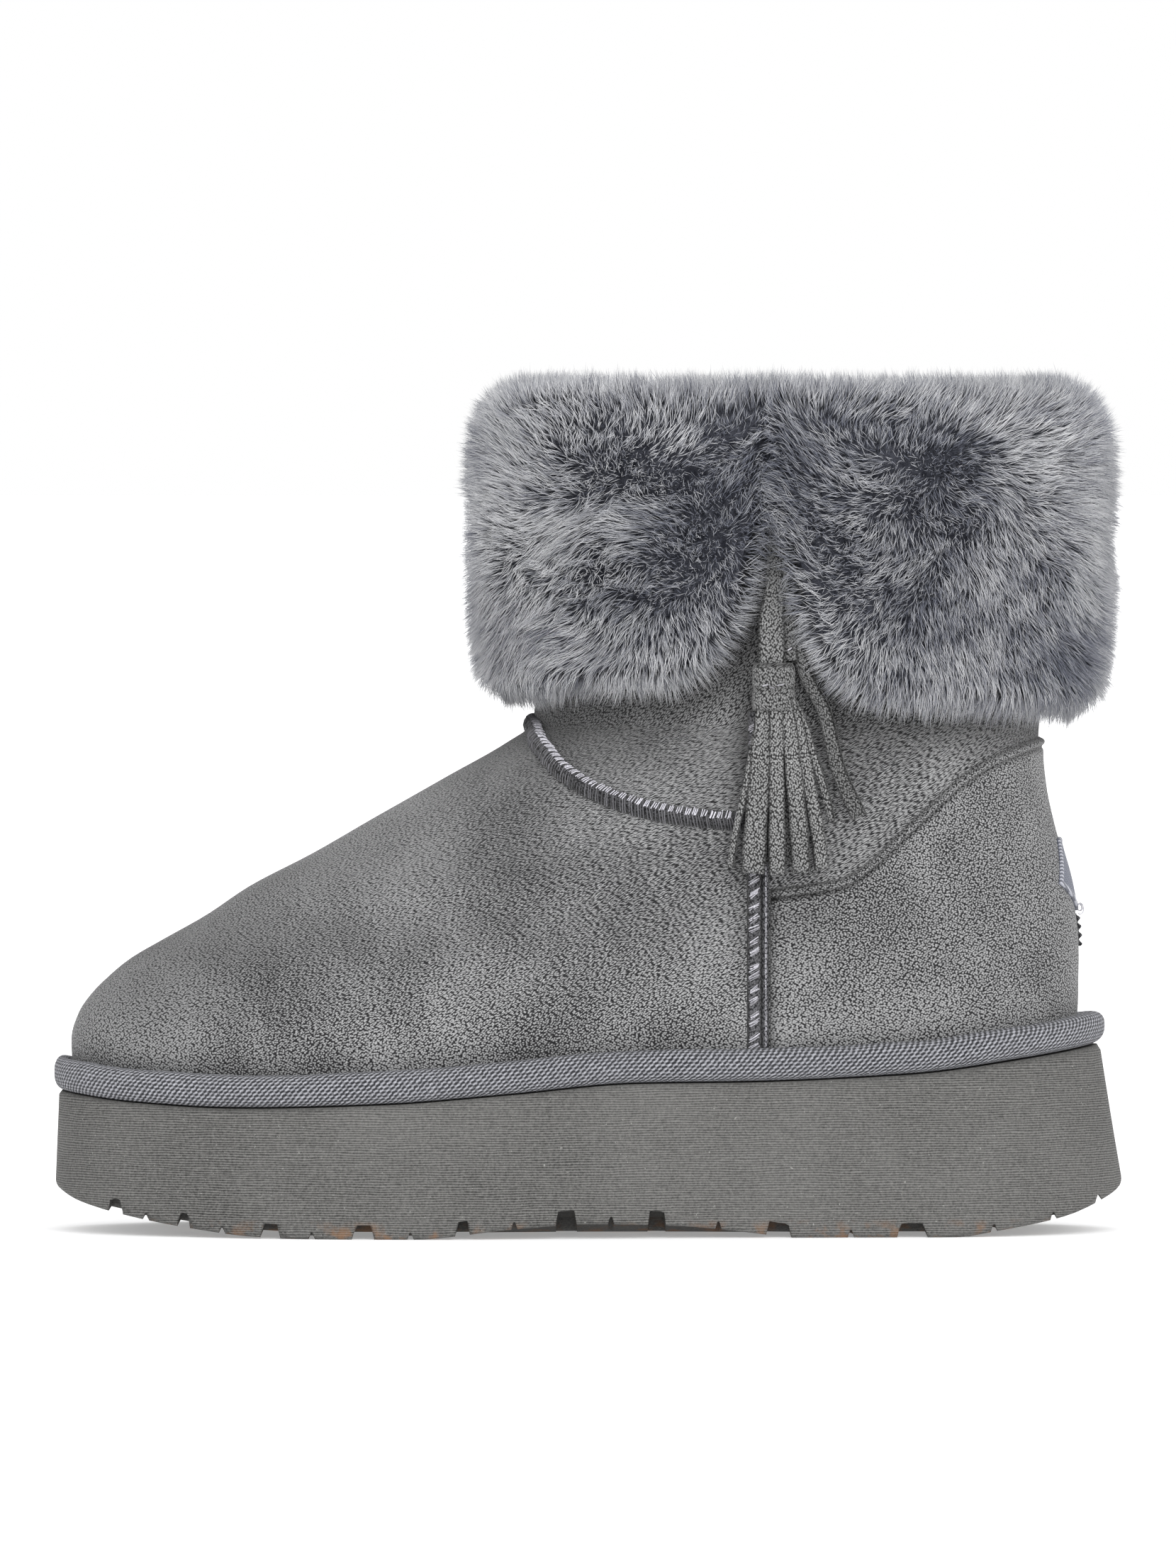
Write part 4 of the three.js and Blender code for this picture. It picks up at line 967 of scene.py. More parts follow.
# Hairs: lengths and radii in millimetres with their ranges as shares, shares of the length before and after
# the bend, and how tone changes with the lean (painted light: hair that lies flat is lighter), the stir, the
# clump, the front lobe and the darker hem.
hairLook = dict(
    length=8.3, insideLength=0.62, lengths=(0.8, 1.15), longShare=0.07, longer=1.22, bend=(0.42, 0.58),
    stand=1.0, kneeStand=1.3, kneeLean=0.6, radius=0.113, radii=(0.7, 1.25), tipStray=0.6, kneeStray=0.35,
    tone=0.47, toneSpread=0.24, leanPaintedLight=0.25, stirTone=0.1, clumpTone=0.28, frontTone=0.2, hemTone=0.1,
)
# Lean: reach of a lobe in millimetres, shares of its lean and of the stirring noise, and the run along the
# section where the face ends, the fold begins and the inside begins. Stirs are size, strength and seed.
leanLook = dict(
    lobeWidth=30.0, lobeHeight=26.0, focus=1.4, around=0.6, up=0.65, droop=0.2, stirred=0.8, foldLift=0.25,
    insideDroop=0.3, most=1.2, faceEnd=(0.55, 0.68), foldStart=(0.5, 0.62), insideStart=(0.78, 0.88),
    stirs=[(26, 0.8, 41), (10, 0.42, 43), (4.0, 0.36, 45)],
)
# Section of the cuff from its lower edge (0) over the fold to the end of the lining (1): distance out from
# the shaft as a share of the pile's depth, and height as a share of the way from the lower edge to the top.
cuffSection = dict(
    run=[0, 0.08, 0.2, 0.35, 0.5, 0.6, 0.68, 0.74, 0.8, 0.86, 0.93, 1],
    out=[0.5, 0.88, 0.97, 1.0, 1.0, 0.93, 0.66, 0.22, -0.24, -0.62, -0.69, -0.64],
    up=[0, 0.05, 0.2, 0.45, 0.72, 0.88, 0.97, 1.0, 0.985, 0.9, 0.76, 0.6],
)
# Middles of the cuff's lobes, which the hair leans away from: turn in degrees and height in millimetres.
lobes = [(10, 180), (54, 184), (117, 179), (160, 190), (205, 184), (275, 180), (330, 186)]
# Patches of lighter and darker pile: turn in degrees, height, reach around and up in millimetres, and the
# change of tone.
patches = [
    (76, 189, 12, 16, -0.3), (20, 157, 13, 12, -0.28), (59, 163, 16, 10, -0.25), (53, 203, 13, 6, -0.2),
    (20, 181, 13, 13, 0.22), (62, 214, 13, 9, 0.25), (79, 162, 8, 10, 0.2), (66, 147, 14, 8, 0.22),
    (40, 175, 9, 7, 0.16), (93, 199, 12, 13, -0.25), (122, 193, 12, 18, -0.25), (116, 163, 12, 10, -0.25),
    (150, 152, 14, 9, -0.5), (140, 170, 12, 9, -0.1), (135, 205, 14, 9, 0.2), (160, 190, 8, 20, 0.15),
    (30, 190, 12, 25, 0.15), (148, 209, 15, 12, 0.25), (142, 190, 10, 10, 0.22), (99, 155, 11, 13, 0.25),
    (118, 141, 16, 7, 0.2), (129, 179, 5, 9, 0.2), (230, 180, 16, 20, -0.2), (285, 175, 18, 15, 0.2),
    (190, 165, 12, 15, -0.2), (330, 160, 14, 12, -0.2), (0, 180, 12, 40, -0.25), (180, 180, 12, 40, -0.25),
    (163, 150, 12, 12, -0.25),
]
# Clumps within clumps: cell size in millimetres and how far the tips are drawn together, more so at the hem.
clumps = [(7.5, 0.12), (3.1, 0.3), (1.4, 0.35)]
hemPull = 2.1


# The shaft's oval, which the cuff is built around, with level outward directions.
def ovalFrame(turn):
    point, out, around = upperFrame(turn, np.full(np.shape(turn), 0.8))
    return point, unit(out * [1, 1, 0]), around


# Surface that the hairs grow from. Its edge keeps back from the CAD cuff's edge, as the hairs reach past it.
def cuffPoint(turn, run):
    point, out, around = ovalFrame(turn)
    angle = (turn / degree) % 360
    off = angle - furLook["slit"]
    kept = furLook["slit"] + np.sign(off) * np.maximum(np.abs(off) - furLook["keptBack"], 0)
    foot = boot["cuffTop"] - boot["cuffDrop"] * read(cuffForm, kept, "drop")
    away = smooth(*furLook["slitReach"], np.abs(off))
    foot = foot + furLook["hemUp"] * mix(furLook["hemAtSlit"], 1.0, away)
    depth = boot["furDepth"] * read(cuffForm, angle, "pile")
    share = read(cuffSection, run, "out")
    inside = smooth(*furLook["foldEnd"], run)
    inward = share * boot["furDepth"] * furLook["liningOut"]
    reach = np.where(share > 0, share * depth * furLook["backing"], inward)
    top = boot["cuffTop"] - furLook["keptDown"]
    z = mix(foot, top, read(cuffSection, run, "up"))
    start, dip = furLook["liningFrom"], furLook["liningDip"]
    lining = mix(top - dip, boot["cuffTop"] - boot["liningReach"], (run - start) / (1 - start))
    z = np.where(run > start, mix(z, lining, inside), z)
    point = point + out * reach[..., None]
    point[..., 2] = z
    return point


# Directions on the cuff: outward, around and along its section, from small steps each way.
def cuffFrame(turn, run):
    step = 0.01
    around = cuffPoint(turn + step, run) - cuffPoint(turn - step, run)
    along = cuffPoint(turn, np.clip(run + step, 0, 1)) - cuffPoint(turn, np.clip(run - step, 0, 1))
    return unit(np.cross(around, along)), unit(around), unit(along)


# Pile under the hairs: the cuff's surface with lumps of two sizes, closed behind by four rings on the shaft.
def makeBacking():
    turn = np.linspace(0, 2 * math.pi, furLook["around"], endpoint=False)
    run = np.linspace(0, 1, furLook["down"])
    t, r = np.meshgrid(turn, run, indexing="ij")
    face = cuffPoint(t, r)
    lump = softNoise(t * 9, r * 16, 3) * 0.9 + softNoise(t * 25, r * 44, 4) * 0.5
    face = face + cuffFrame(t, r)[0] * lump[..., None]
    closing = []
    within, over = -boot["wall"] - 0.4, boot["rimHeight"] + 1
    for distance, z in ((within, face[:, -1, 2] + 1), (within, over), (0.4, over), (0.4, face[:, 0, 2] + 2)):
        wall = upperPoint(turn, np.full(turn.shape, 0.8), np.full(turn.shape, distance))
        wall[:, 2] = z
        closing.append(wall[:, None])
    points = np.concatenate([face] + closing, 1)
    faces = gridFaces(points.shape[0], points.shape[1], True, True)
    makeMesh("cuffBacking", points, [faces], backingMaterial, ("fur_cuff",), welded=0.001)


# The way hair leans, as shares around and up the cuff: away from the middle of its lobe, stirred by noise of
# three sizes. Hair in the middle of a lobe stands up.
def hairLean(turn, run, point):
    angle = (turn / degree) % 360
    around, up, total = np.zeros_like(turn), np.zeros_like(turn), np.full(turn.shape, 1e-6)
    for middle, height in lobes:
        du = ((angle - middle + 180) % 360 - 180) * furLook["girth"] / 360 / leanLook["lobeWidth"]
        dv = (point[..., 2] - height) / leanLook["lobeHeight"]
        weight = np.exp(-(du ** 2) * leanLook["focus"])
        around, up, total = around + weight * du, up + weight * dv, total + weight
    around, up = around / total, up / total
    stir = np.zeros(turn.shape + (2,))
    for size, strength, seed in leanLook["stirs"]:
        u, v = angle / 360 * furLook["girth"] / size, run * furLook["height"] / size
        stir += strength * np.stack([softNoise(u + 5, v + 3, seed), softNoise(u + 9, v + 8, seed + 1)], -1)
    face = 1 - smooth(*leanLook["faceEnd"], run)
    inside = smooth(*leanLook["insideStart"], run)
    around = around * face * leanLook["around"] + stir[..., 0] * leanLook["stirred"]
    fold = leanLook["foldLift"] * smooth(*leanLook["foldStart"], run) * (1 - inside)
    up = (up * leanLook["up"] - leanLook["droop"]) * face + stir[..., 1] * leanLook["stirred"] + fold
    up = up - leanLook["insideDroop"] * inside
    strong = np.hypot(around, up)
    limited = np.minimum(strong, leanLook["most"])
    limit = limited / np.maximum(strong, 1e-6)
    return around * limit, up * limit, limited, stir[..., 0]


# Roots spread evenly over the cuff's area: a root is kept by chance in proportion to the area it stands for.
def furRoots(count, seed):
    rng = np.random.default_rng(seed)
    turn = rng.uniform(0, 2 * math.pi, count * 3)
    run = rng.uniform(0, 1, count * 3)
    down = cuffPoint(turn, np.clip(run + 0.01, 0, 1)) - cuffPoint(turn, np.clip(run - 0.01, 0, 1))
    along = cuffPoint(turn + 0.01, run) - cuffPoint(turn - 0.01, run)
    area = np.linalg.norm(np.cross(down, along), axis=1) * mix(1.0, 0.4, smooth(0.8, 0.9, run))
    area = area * (1 + 0.5 * (1 - smooth(0.0, 0.1, run)))
    keep = rng.uniform(0, np.quantile(area, 0.995), count * 3) < area
    return turn[keep][:count], run[keep][:count], rng


# The clump of each root: the nearest point of a jittered grid over the cuff, as its turn, run and number.
def clumpOf(turn, run, size):
    columns, rows = int(furLook["girth"] / size), furLook["height"] / size
    scale = columns / (2 * math.pi)
    jitter = np.random.default_rng(int(size * 10)).uniform(0.1, 0.9, (columns, 160, 2))
    best = np.full(turn.shape, 9.0)
    found = [turn.copy(), run.copy(), np.zeros(turn.shape, int)]
    for du in (-1, 0, 1):
        for dv in (-1, 0, 1):
            iu = np.floor(turn * scale).astype(int) + du
            iv = np.floor(run * rows).astype(int) + dv
            off = jitter[iu % columns, iv % 160]
            cu, cv = iu + off[:, 0], iv + off[:, 1]
            far = np.hypot(turn * scale - cu, run * rows - cv)
            near = far < best
            best = np.where(near, far, best)
            number = (iu % columns) * 160 + iv % 160
            for k, value in enumerate((cu / scale, np.clip(cv / rows, 0, 1), number)):
                found[k] = np.where(near, value, found[k])
    return found


# Each hair is a bent spindle: a point at its root, a ring of three at its bend and a point at its tip, which
# is drawn towards the tips of its clumps.
def makeHairs(name, seed):
    turn, run, rng = furRoots(furLook["hairs"], seed)
    count = len(turn)
    usual = hairLook["length"] * mix(1.0, hairLook["insideLength"], smooth(*leanLook["insideStart"], run))

    # Root, knee and tip of hairs, with how strongly and which way they lean.
    def tipOf(t, r, length):
        root = cuffPoint(t, r)
        normal, around, up = cuffFrame(t, r)
        leanAround, leanUp, strong, wide = hairLean(t, r, root)
        lean = around * leanAround[:, None] + up * leanUp[:, None]
        lower = unit(normal * hairLook["kneeStand"] + lean * hairLook["kneeLean"])
        upper = unit(normal * hairLook["stand"] + lean)
        knee = root + lower * (length * hairLook["bend"][0])[:, None]
        return root, knee, knee + upper * (length * hairLook["bend"][1])[:, None], strong, wide

    length = usual * rng.uniform(*hairLook["lengths"], count)
    length = length * np.where(rng.uniform(0, 1, count) < hairLook["longShare"], hairLook["longer"], 1.0)
    root, knee, tip, strong, wide = tipOf(turn, run, length)
    angle = (turn / degree) % 360
    # Painted light: hair that lies flat is made lighter.
    tone = hairLook["tone"] + hairLook["leanPaintedLight"] * (strong - 0.6) + hairLook["stirTone"] * wide
    tone = tone + rng.normal(0, hairLook["toneSpread"], count)
    tone += hairLook["frontTone"] * smooth(78, 55, angle) - hairLook["hemTone"] * smooth(0.12, 0.0, run)
    for middle, height, reachAround, reachUp, change in patches:
        off = ((angle - middle + 180) % 360 - 180) * furLook["girth"] / 360
        tone += change * bell(off, 0, reachAround) * bell(root[:, 2], height, reachUp) * (run < 0.62)
    hem = smooth(0.16, 0.0, run)
    for size, pull in clumps:
        centreTurn, centreRun, number = clumpOf(turn, run, size)
        chance = np.random.default_rng(int(size * 7)).uniform(0, 1, (number.max() + 1, 2))[number]
        reach = mix(0.85, 0.75, hem) + mix(0.3, 0.6, hem) * chance[:, 0]
        drawn = tipOf(centreTurn, centreRun, usual * reach)[2]
        pull = pull * mix(1.0, hemPull, hem) * (0.6 + 0.8 * rng.uniform(0, 1, count))
        tip = mix(tip, drawn, pull[:, None])
        tone += hairLook["clumpTone"] * (chance[:, 1] - 0.5)
    tip += rng.normal(0, hairLook["tipStray"], (count, 3))
    knee += rng.normal(0, hairLook["kneeStray"], (count, 3))
    radius = hairLook["radius"] * rng.uniform(*hairLook["radii"], count)
    across = unit(np.cross(tip - root, [0.21, 0.13, 0.97]))
    deep = unit(np.cross(tip - root, across))
    third = np.arange(3)[None, :, None] * 2 * math.pi / 3
    ring = across[:, None] * np.cos(third) + deep[:, None] * np.sin(third)
    ring = knee[:, None] + ring * radius[:, None, None]
    points = np.concatenate([root[:, None], ring, tip[:, None]], 1)
    spindle = np.array([[0, 2, 1], [0, 3, 2], [0, 1, 3], [1, 2, 4], [2, 3, 4], [3, 1, 4]])
    faces = (spindle[None] + np.arange(count)[:, None, None] * 5).reshape(-1, 3)
    level = np.broadcast_to(np.array([0.0, 0.45, 0.45, 0.45, 1.0]), (count, 5))
    shade = np.stack([level, np.repeat(np.clip(tone, 0, 1)[:, None], 5, 1), np.zeros_like(level)], -1)
    makeMesh(name, points, [faces], furMaterial, shade=shade)


# Hair colour runs from dark roots to pale tips; the dark roots are painted shade deep in the pile. The
# attribute holds the share along the hair and its tone.
def makeFurMaterial():
    material, tree, shader = newMaterial("cuffFur", 0.55, Specular_IOR_Level=0.35, Sheen_Weight=0.1)
    data = addNode(tree, "ShaderNodeVertexColor", layer_name="shade").outputs["Color"]
    split = addNode(tree, "ShaderNodeSeparateColor", {"Color": data})
    along, tone = split.outputs["Red"], split.outputs["Green"]
    body = blendColor(tree, tone, (0.10, 0.107, 0.138, 1), (0.45, 0.455, 0.475, 1))
    tip = blendColor(tree, tone, (0.2, 0.212, 0.262, 1), (0.97, 0.97, 0.98, 1))
    # Painted shade: the root end of each hair is dark.
    color = blendColor(tree, remap(tree, along, 0.1, 0.5), (0.06, 0.064, 0.08, 1), body)
    color = blendColor(tree, remap(tree, along, 0.5, 1.0), color, tip)
    tree.links.new(color, shader.inputs["Base Color"])
    return material


# The ground under the hairs is near black: painted shade deep in the pile.
def makeBackingMaterial():
    material, tree, shader = newMaterial("furRoots", 0.95, Specular_IOR_Level=0.1)
    place = objectPlace(tree)
    tufts = noise(tree, place, 420.0, 3.0, 0.6, 0.6)
    fine = noise(tree, place, 1700.0, 2.0, 0.6)
    lit = remap(tree, tufts, 0.35, 0.65)
    color = blendColor(tree, lit, (0.03, 0.032, 0.042, 1), (0.09, 0.094, 0.115, 1))
    tree.links.new(color, shader.inputs["Base Color"])
    bumpTo(tree, shader, calc(tree, "ADD", tufts, calc(tree, "MULTIPLY", fine, 0.5)), 1.0, 0.0012)
    return material


furMaterial = makeFurMaterial()
backingMaterial = makeBackingMaterial()
makeBacking()
for batch in range(furLook["batches"]):
    makeHairs(f"cuffHair{batch + 1}", 100 + batch)
print("stage: fur ready")


# Insole, and the lining pile inside the upper.
insoleLook = dict(turns=180, thick=4.0)


def makePileMaterial():
    material, tree, shader = newMaterial("liningPile", 0.95, Specular_IOR_Level=0.1, Sheen_Weight=0.3)
    place = objectPlace(tree)
    clumps = noise(tree, place, 330.0, 4.0, 0.65, 1.0)
    fine = noise(tree, place, 1500.0, 2.0, 0.6, 0.5)
    color = blendColor(tree, remap(tree, clumps, 0.32, 0.68), (0.12, 0.127, 0.15, 1), (0.33, 0.34, 0.37, 1))
    color = blendColor(tree, remap(tree, fine, 0.4, 0.7, 0.0, 0.5), color, (0.45, 0.455, 0.48, 1))
    tree.links.new(color, shader.inputs["Base Color"])
    bumpTo(tree, shader, calc(tree, "ADD", clumps, calc(tree, "MULTIPLY", fine, 0.5)), 1.0, 0.0015)
    return material


pileMaterial = makePileMaterial()


# The upper's foot outline shrunk ring by ring to the middle, with a rounded edge and a soft top.
def makeInsole():
    turn = np.linspace(0, 2 * math.pi, insoleLook["turns"], endpoint=False)
    edge = upperPoint(turn, np.zeros_like(turn), np.full(turn.shape, -boot["wall"] - boot["gap"]))
    shares = np.array([0.02, 0.3, 0.6, 0.85, 0.96, 1.0, 1.0, 0.6, 0.02])
    lifts = np.array([1, 1, 1, 1, 0.92, 0.7, 0, 0, 0])
    x, y = edge[:, :1] * shares, edge[:, 1:2] * shares
    crown = softNoise(x / 12 + 20, y / 12 + 20, 8) * 0.5 * (lifts > 0.5)
    z = deckHeight(x) + boot["gap"] + lifts * insoleLook["thick"] + crown
    points = np.stack([x, y, z], -1)
    ring = gridFaces(len(turn), len(shares), closeRows=True)
    top = (np.arange(len(turn)) * len(shares))[None]
    faces = [ring, top[:, ::-1], top + len(shares) - 1]
    makeMesh("footbed", points, faces, pileMaterial, ("insole",), welded=0.0001)


makeInsole()


# The upper's inner wall, set in by a pile with lumps of two sizes.
def makeLining():
    turn = np.linspace(0, 2 * math.pi, 120, endpoint=False)
    level = np.linspace(0.01, 0.9, 50)
    t, l = np.meshgrid(turn, level, indexing="ij")
    lump = softNoise(t * 14, l * 40, 31) * 0.5 + softNoise(t * 40, l * 110, 32) * 0.35
    depth = -boot["wall"] - 0.9 - lump
    inside = upperPoint(t, l, depth)
    back = upperPoint(t[:, ::-1], l[:, ::-1], np.full(t.shape, -boot["wall"] + 0.1))
    points = np.concatenate([inside, back], 1)
    faces = gridFaces(points.shape[0], points.shape[1], True, True)[:, ::-1]
    makeMesh("liningPile", points, [faces], pileMaterial, welded=0.0001)


makeLining()
print("stage: insole and lining ready")


# Tassel: strap, tail, rolled head and strips of suede.
tasselLook = dict(stripThick=1.25, headDepth=6.2, steps=22)
# Rows: place across the tassel at the top, middle and foot, as shares of the head's width; length, width and
# layer out from the upper in millimetres; and how far the strip curls.
strips = [
    (-0.22, -0.68, -1.02, 40.5, 1.7, 4.6, 0.5), (-0.16, -0.36, -0.48, 42.0, 6.4, 5.4, 0.25),
    (0.05, 0.07, 0.08, 42.3, 4.4, 6.2, -0.2), (0.24, 0.52, 0.66, 41.7, 4.9, 5.7, 0.3),
    (0.36, 0.86, 1.14, 41.0, 3.8, 5.0, -0.35), (-0.12, -0.16, -0.2, 39.6, 4.6, 3.4, 0.2),
    (0.18, 0.3, 0.4, 39.2, 4.6, 3.5, -0.2), (0.42, 1.0, 1.36, 28.2, 2.2, 4.2, 0.6),
]


# Points beside the upper's outer face, at a distance out from it in -Y.
def besidePoint(x, z, distance):
    level = levelAt(x, z)
    face = upperFace(turnAt(x, level), level)
    return np.stack([x, face[..., 1] - distance, z], -1)


# A flat band along rows of points: rounded rectangle section, turned about its own length.
def band(middle, half, thick, turn):
    side = np.array([-1, -0.72, 0.72, 1, 1, 0.72, -0.72, -1.0])
    deep = np.array([0.3, 0.5, 0.5, 0.3, -0.3, -0.5, -0.5, -0.3])
    along = unit(np.gradient(middle, axis=0))
    out = np.array([0.0, -1.0, 0.0])
    across = unit(np.cross(np.broadcast_to(out, along.shape), along))
    normal = np.cross(along, across)
    c, s = np.cos(turn)[:, None], np.sin(turn)[:, None]
    across, normal = across * c + normal * s, normal * c - across * s
    ring = (middle[:, None] + across[:, None] * (side[None] * half[:, None])[..., None]
            + normal[:, None] * (deep[None] * thick)[..., None])
    return ring, tubeFaces(len(middle), 8)


# Painted shade round a strip's section: dark edges stand for the gaps between strips, and the back is
# darker.
stripPaintedShade = np.array([0.12, 1, 1, 0.12, 0.1, 0.4, 0.4, 0.1])  # shade round a strip's section


# Each strip hangs from the head along a smooth line through its row's places, with a slight wave.
def makeTassel():
    x0 = placeAt(boot["tassel"])
    share = np.linspace(0, 1, tasselLook["steps"])
    startZ = boot["headTop"] - boot["headHeight"] * 0.7
    parts = []
    for i, (top, middle, foot, length, width, layer, curl) in enumerate(strips):
        places = [top, mix(top, middle, 0.45), middle, mix(middle, foot, 0.65), foot]
        across = read(dict(share=[0, 0.2, 0.55, 0.8, 1], across=places), share, "across")
        x = x0 + across * boot["headWidth"]
        z = mix(startZ, boot["headTop"] - boot["headHeight"] - length, share)
        wave = 0.5 * np.sin(share * 5 + i * 1.7) * share
        point = besidePoint(x, z, boot["gap"] + layer + 1.1 * (1 - share) ** 2 + wave)
        half = width / 2 * (mix(0.8, 1.0, share) + 0.04 * np.sin(share * 23 + i))
        parts.append(band(point, half, tasselLook["stripThick"], curl * share ** 1.5))
    # Painted shade: strips of the back layer are much darker, and each strip is darker just under the head.
    behind = np.array([0.35 if row[5] < 4 else 1.0 for row in strips])
    shade = behind[:, None, None] * mix(0.8, 1.0, smooth(0.0, 0.2, share))[None, :, None] * stripPaintedShade
    head, headFaces = makeHead(x0)
    down = np.linspace(0, 1, len(head))
    # The head is darker overall; painted shade makes dark lines at its top edge, its middle crease and its
    # foot.
    fold = 0.8 - 0.5 * bell(down, 0.03, 0.05) - 0.3 * bell(down, 0.55, 0.04) - 0.25 * bell(down, 1, 0.05)
    shade = np.r_[shade.reshape(-1), np.repeat(fold, head.shape[1])]
    points, faces = join(parts + [(head, headFaces)])
    cloth = np.concatenate([clothMap(ring) for ring, _ in parts] + [clothMap(head)])
    makeMesh("tasselStrips", points, faces, stripMaterial, ("tassel",), cloth, shade, 0.0001)


# Head: a strip rolled round the tassel, an oval section with a raised band and an overlapped end.
def makeHead(x0):
    share = np.linspace(0, 1, 18)
    angle = np.linspace(0, 2 * math.pi, 40, endpoint=False)
    z = boot["headTop"] - share * boot["headHeight"]
    full = 1 - 0.14 * bell(share, 0, 0.06) - 0.05 * bell(share, 0.55, 0.05) - 0.03 * bell(share, 1, 0.05)
    middle = besidePoint(np.array([x0]), np.array([boot["headTop"] - boot["headHeight"] / 2]),
                         boot["gap"] + seamLook["height"] + tasselLook["headDepth"] / 2)[0]
    c, s = np.cos(angle), np.sin(angle)
    across = np.sign(c) * np.abs(c) ** 0.75 * boot["headWidth"] / 2
    deep = np.sign(s) * np.abs(s) ** 0.75 * tasselLook["headDepth"] / 2
    lap = 0.35 * smooth(0.0, 0.25, angle / (2 * math.pi))
    grow = full[:, None] * (1 + 0.03 * np.sin(angle * 3)[None]) + lap[None] * 0.06
    x = middle[0] + across[None] * grow
    y = middle[1] + deep[None] * grow
    points = np.stack([x, y, np.broadcast_to(z[:, None], x.shape)], -1)
    return points, tubeFaces(len(z), len(angle))


# Strap rows: place across as a share of the head's width, half width, height and distance out.
loopRows = dict(
    share=[0, 0.3, 0.55, 0.8, 1], across=[0.02, 0.0, 0.0, -0.06, -0.04], half=[1.8, 2.1, 2.6, 3.4, 3.6],
    z=[181.5, 172.7, 166, 158, 147.5], out=[1.9, 2.4, 3.3, 4.8, 6.4],
)
secondRows = dict(
    share=[0, 0.3, 0.55, 0.8, 1], across=[0.12, 0.16, 0.24, 0.34, 0.36], half=[1.2, 1.4, 1.8, 2.2, 2.2],
    z=[180.5, 172, 165, 157, 148.8], out=[1.2, 1.4, 2.0, 3.2, 4.8],
)
tailRows = dict(
    share=[0, 0.25, 0.42, 0.58, 0.7, 0.84, 1], across=[0.1, 0.3, 0.45, 0.78, 1.22, 1.5, 2.02],
    half=[1.3, 1.6, 1.8, 2.0, 2.0, 2.0, 2.1], z=[177.8, 164.6, 155.8, 144.7, 135.1, 121.9, 108.7],
    out=[1.5, 2.0, 2.8, 5.2, 5.6, 4.8, 4.4],
)


# The strap's two layers and its tail, each a band along its rows.
def makeStraps():
    x0 = placeAt(boot["tassel"])
    steps, thick = 30, 1.3
    parts = []
    for rows, curl in ((loopRows, -0.12), (secondRows, 0.3), (tailRows, 0.65)):
        share = np.linspace(0, 1, steps)
        x = x0 + read(rows, share, "across") * boot["headWidth"]
        point = besidePoint(x, read(rows, share, "z"), boot["gap"] + read(rows, share, "out"))
        half = read(rows, share, "half")
        parts.append(band(point, half, thick, curl * np.sin(share * math.pi * 0.9)))
    points, faces = join(parts)
    # Painted shade: the strap's second layer and its tail are darker than its front layer, and all have dark
    # edges.
    edge = np.repeat([0.9, 0.75, 0.68], steps)[:, None] * stripPaintedShade
    cloth = np.concatenate([clothMap(ring) for ring, _ in parts])
    makeMesh("tasselStraps", points, faces, stripMaterial, ("tassel_strap",), cloth, edge, 0.0001)


# Four short stitches on the head, each a thread in a shallow arch.
def makeHeadStitches():
    x0 = placeAt(boot["tassel"])
    front = boot["gap"] + seamLook["height"] + tasselLook["headDepth"] + 0.1
    y = besidePoint(np.array([x0]), np.array([boot["headTop"] - boot["headHeight"] / 2]), front)[0, 1]
    knots = np.array([[-2.9, -5.9], [-1.1, -6.2], [0.9, -5.8], [3.6, 3.2]])  # across and up from its top
    share = np.linspace(0, 1, 5)
    reach = np.array([1.3, 1.1, 1.5, 0.9])[:, None]
    x = x0 + knots[:, :1] + share * reach
    z = boot["headTop"] + knots[:, 1:] + np.array([0.3, -0.3, 0.25, 0.6])[:, None] * share
    y = np.broadcast_to(y - 0.35 * np.sin(math.pi * share), x.shape)
    path = np.stack([x, y, z], -1)
    path[3, :, 1] += tasselLook["headDepth"] - 3.6
    points, faces = tubes(path, np.full(path.shape[:2], 0.2))
    makeThreadPiece("tasselThreads", [(points, faces, np.repeat([0.5, 0.3, 0.4, 0.7], 5 * 6))])


makeTassel()
makeStraps()
makeHeadStitches()
print("stage: tassel ready")


# Heel label: a bare woven shield with a raised overlocked edge, on the middle of the quarter.
labelLook = dict(
    columns=60, rows=50, topLevel=0.344, cornerLevel=0.272, tipLevel=0.222, halfWidth=12, topHalfWidth=5,
    thick=0.6,
)
backEdge = dict(fromLevel=0.165, toLevel=0.218, width=1.3, height=2.1, steps=40, lumps=0.2)


# Turn from the heel's middle at which the upper is half as wide as the label.
def labelHalfTurn():
    turns = np.linspace(0, math.pi / 2, 201)
    y = np.abs(upperFace(math.pi - turns, np.full(turns.shape, labelLook["cornerLevel"]))[:, 1])
    return turns[np.argmax(y >= labelLook["halfWidth"])]


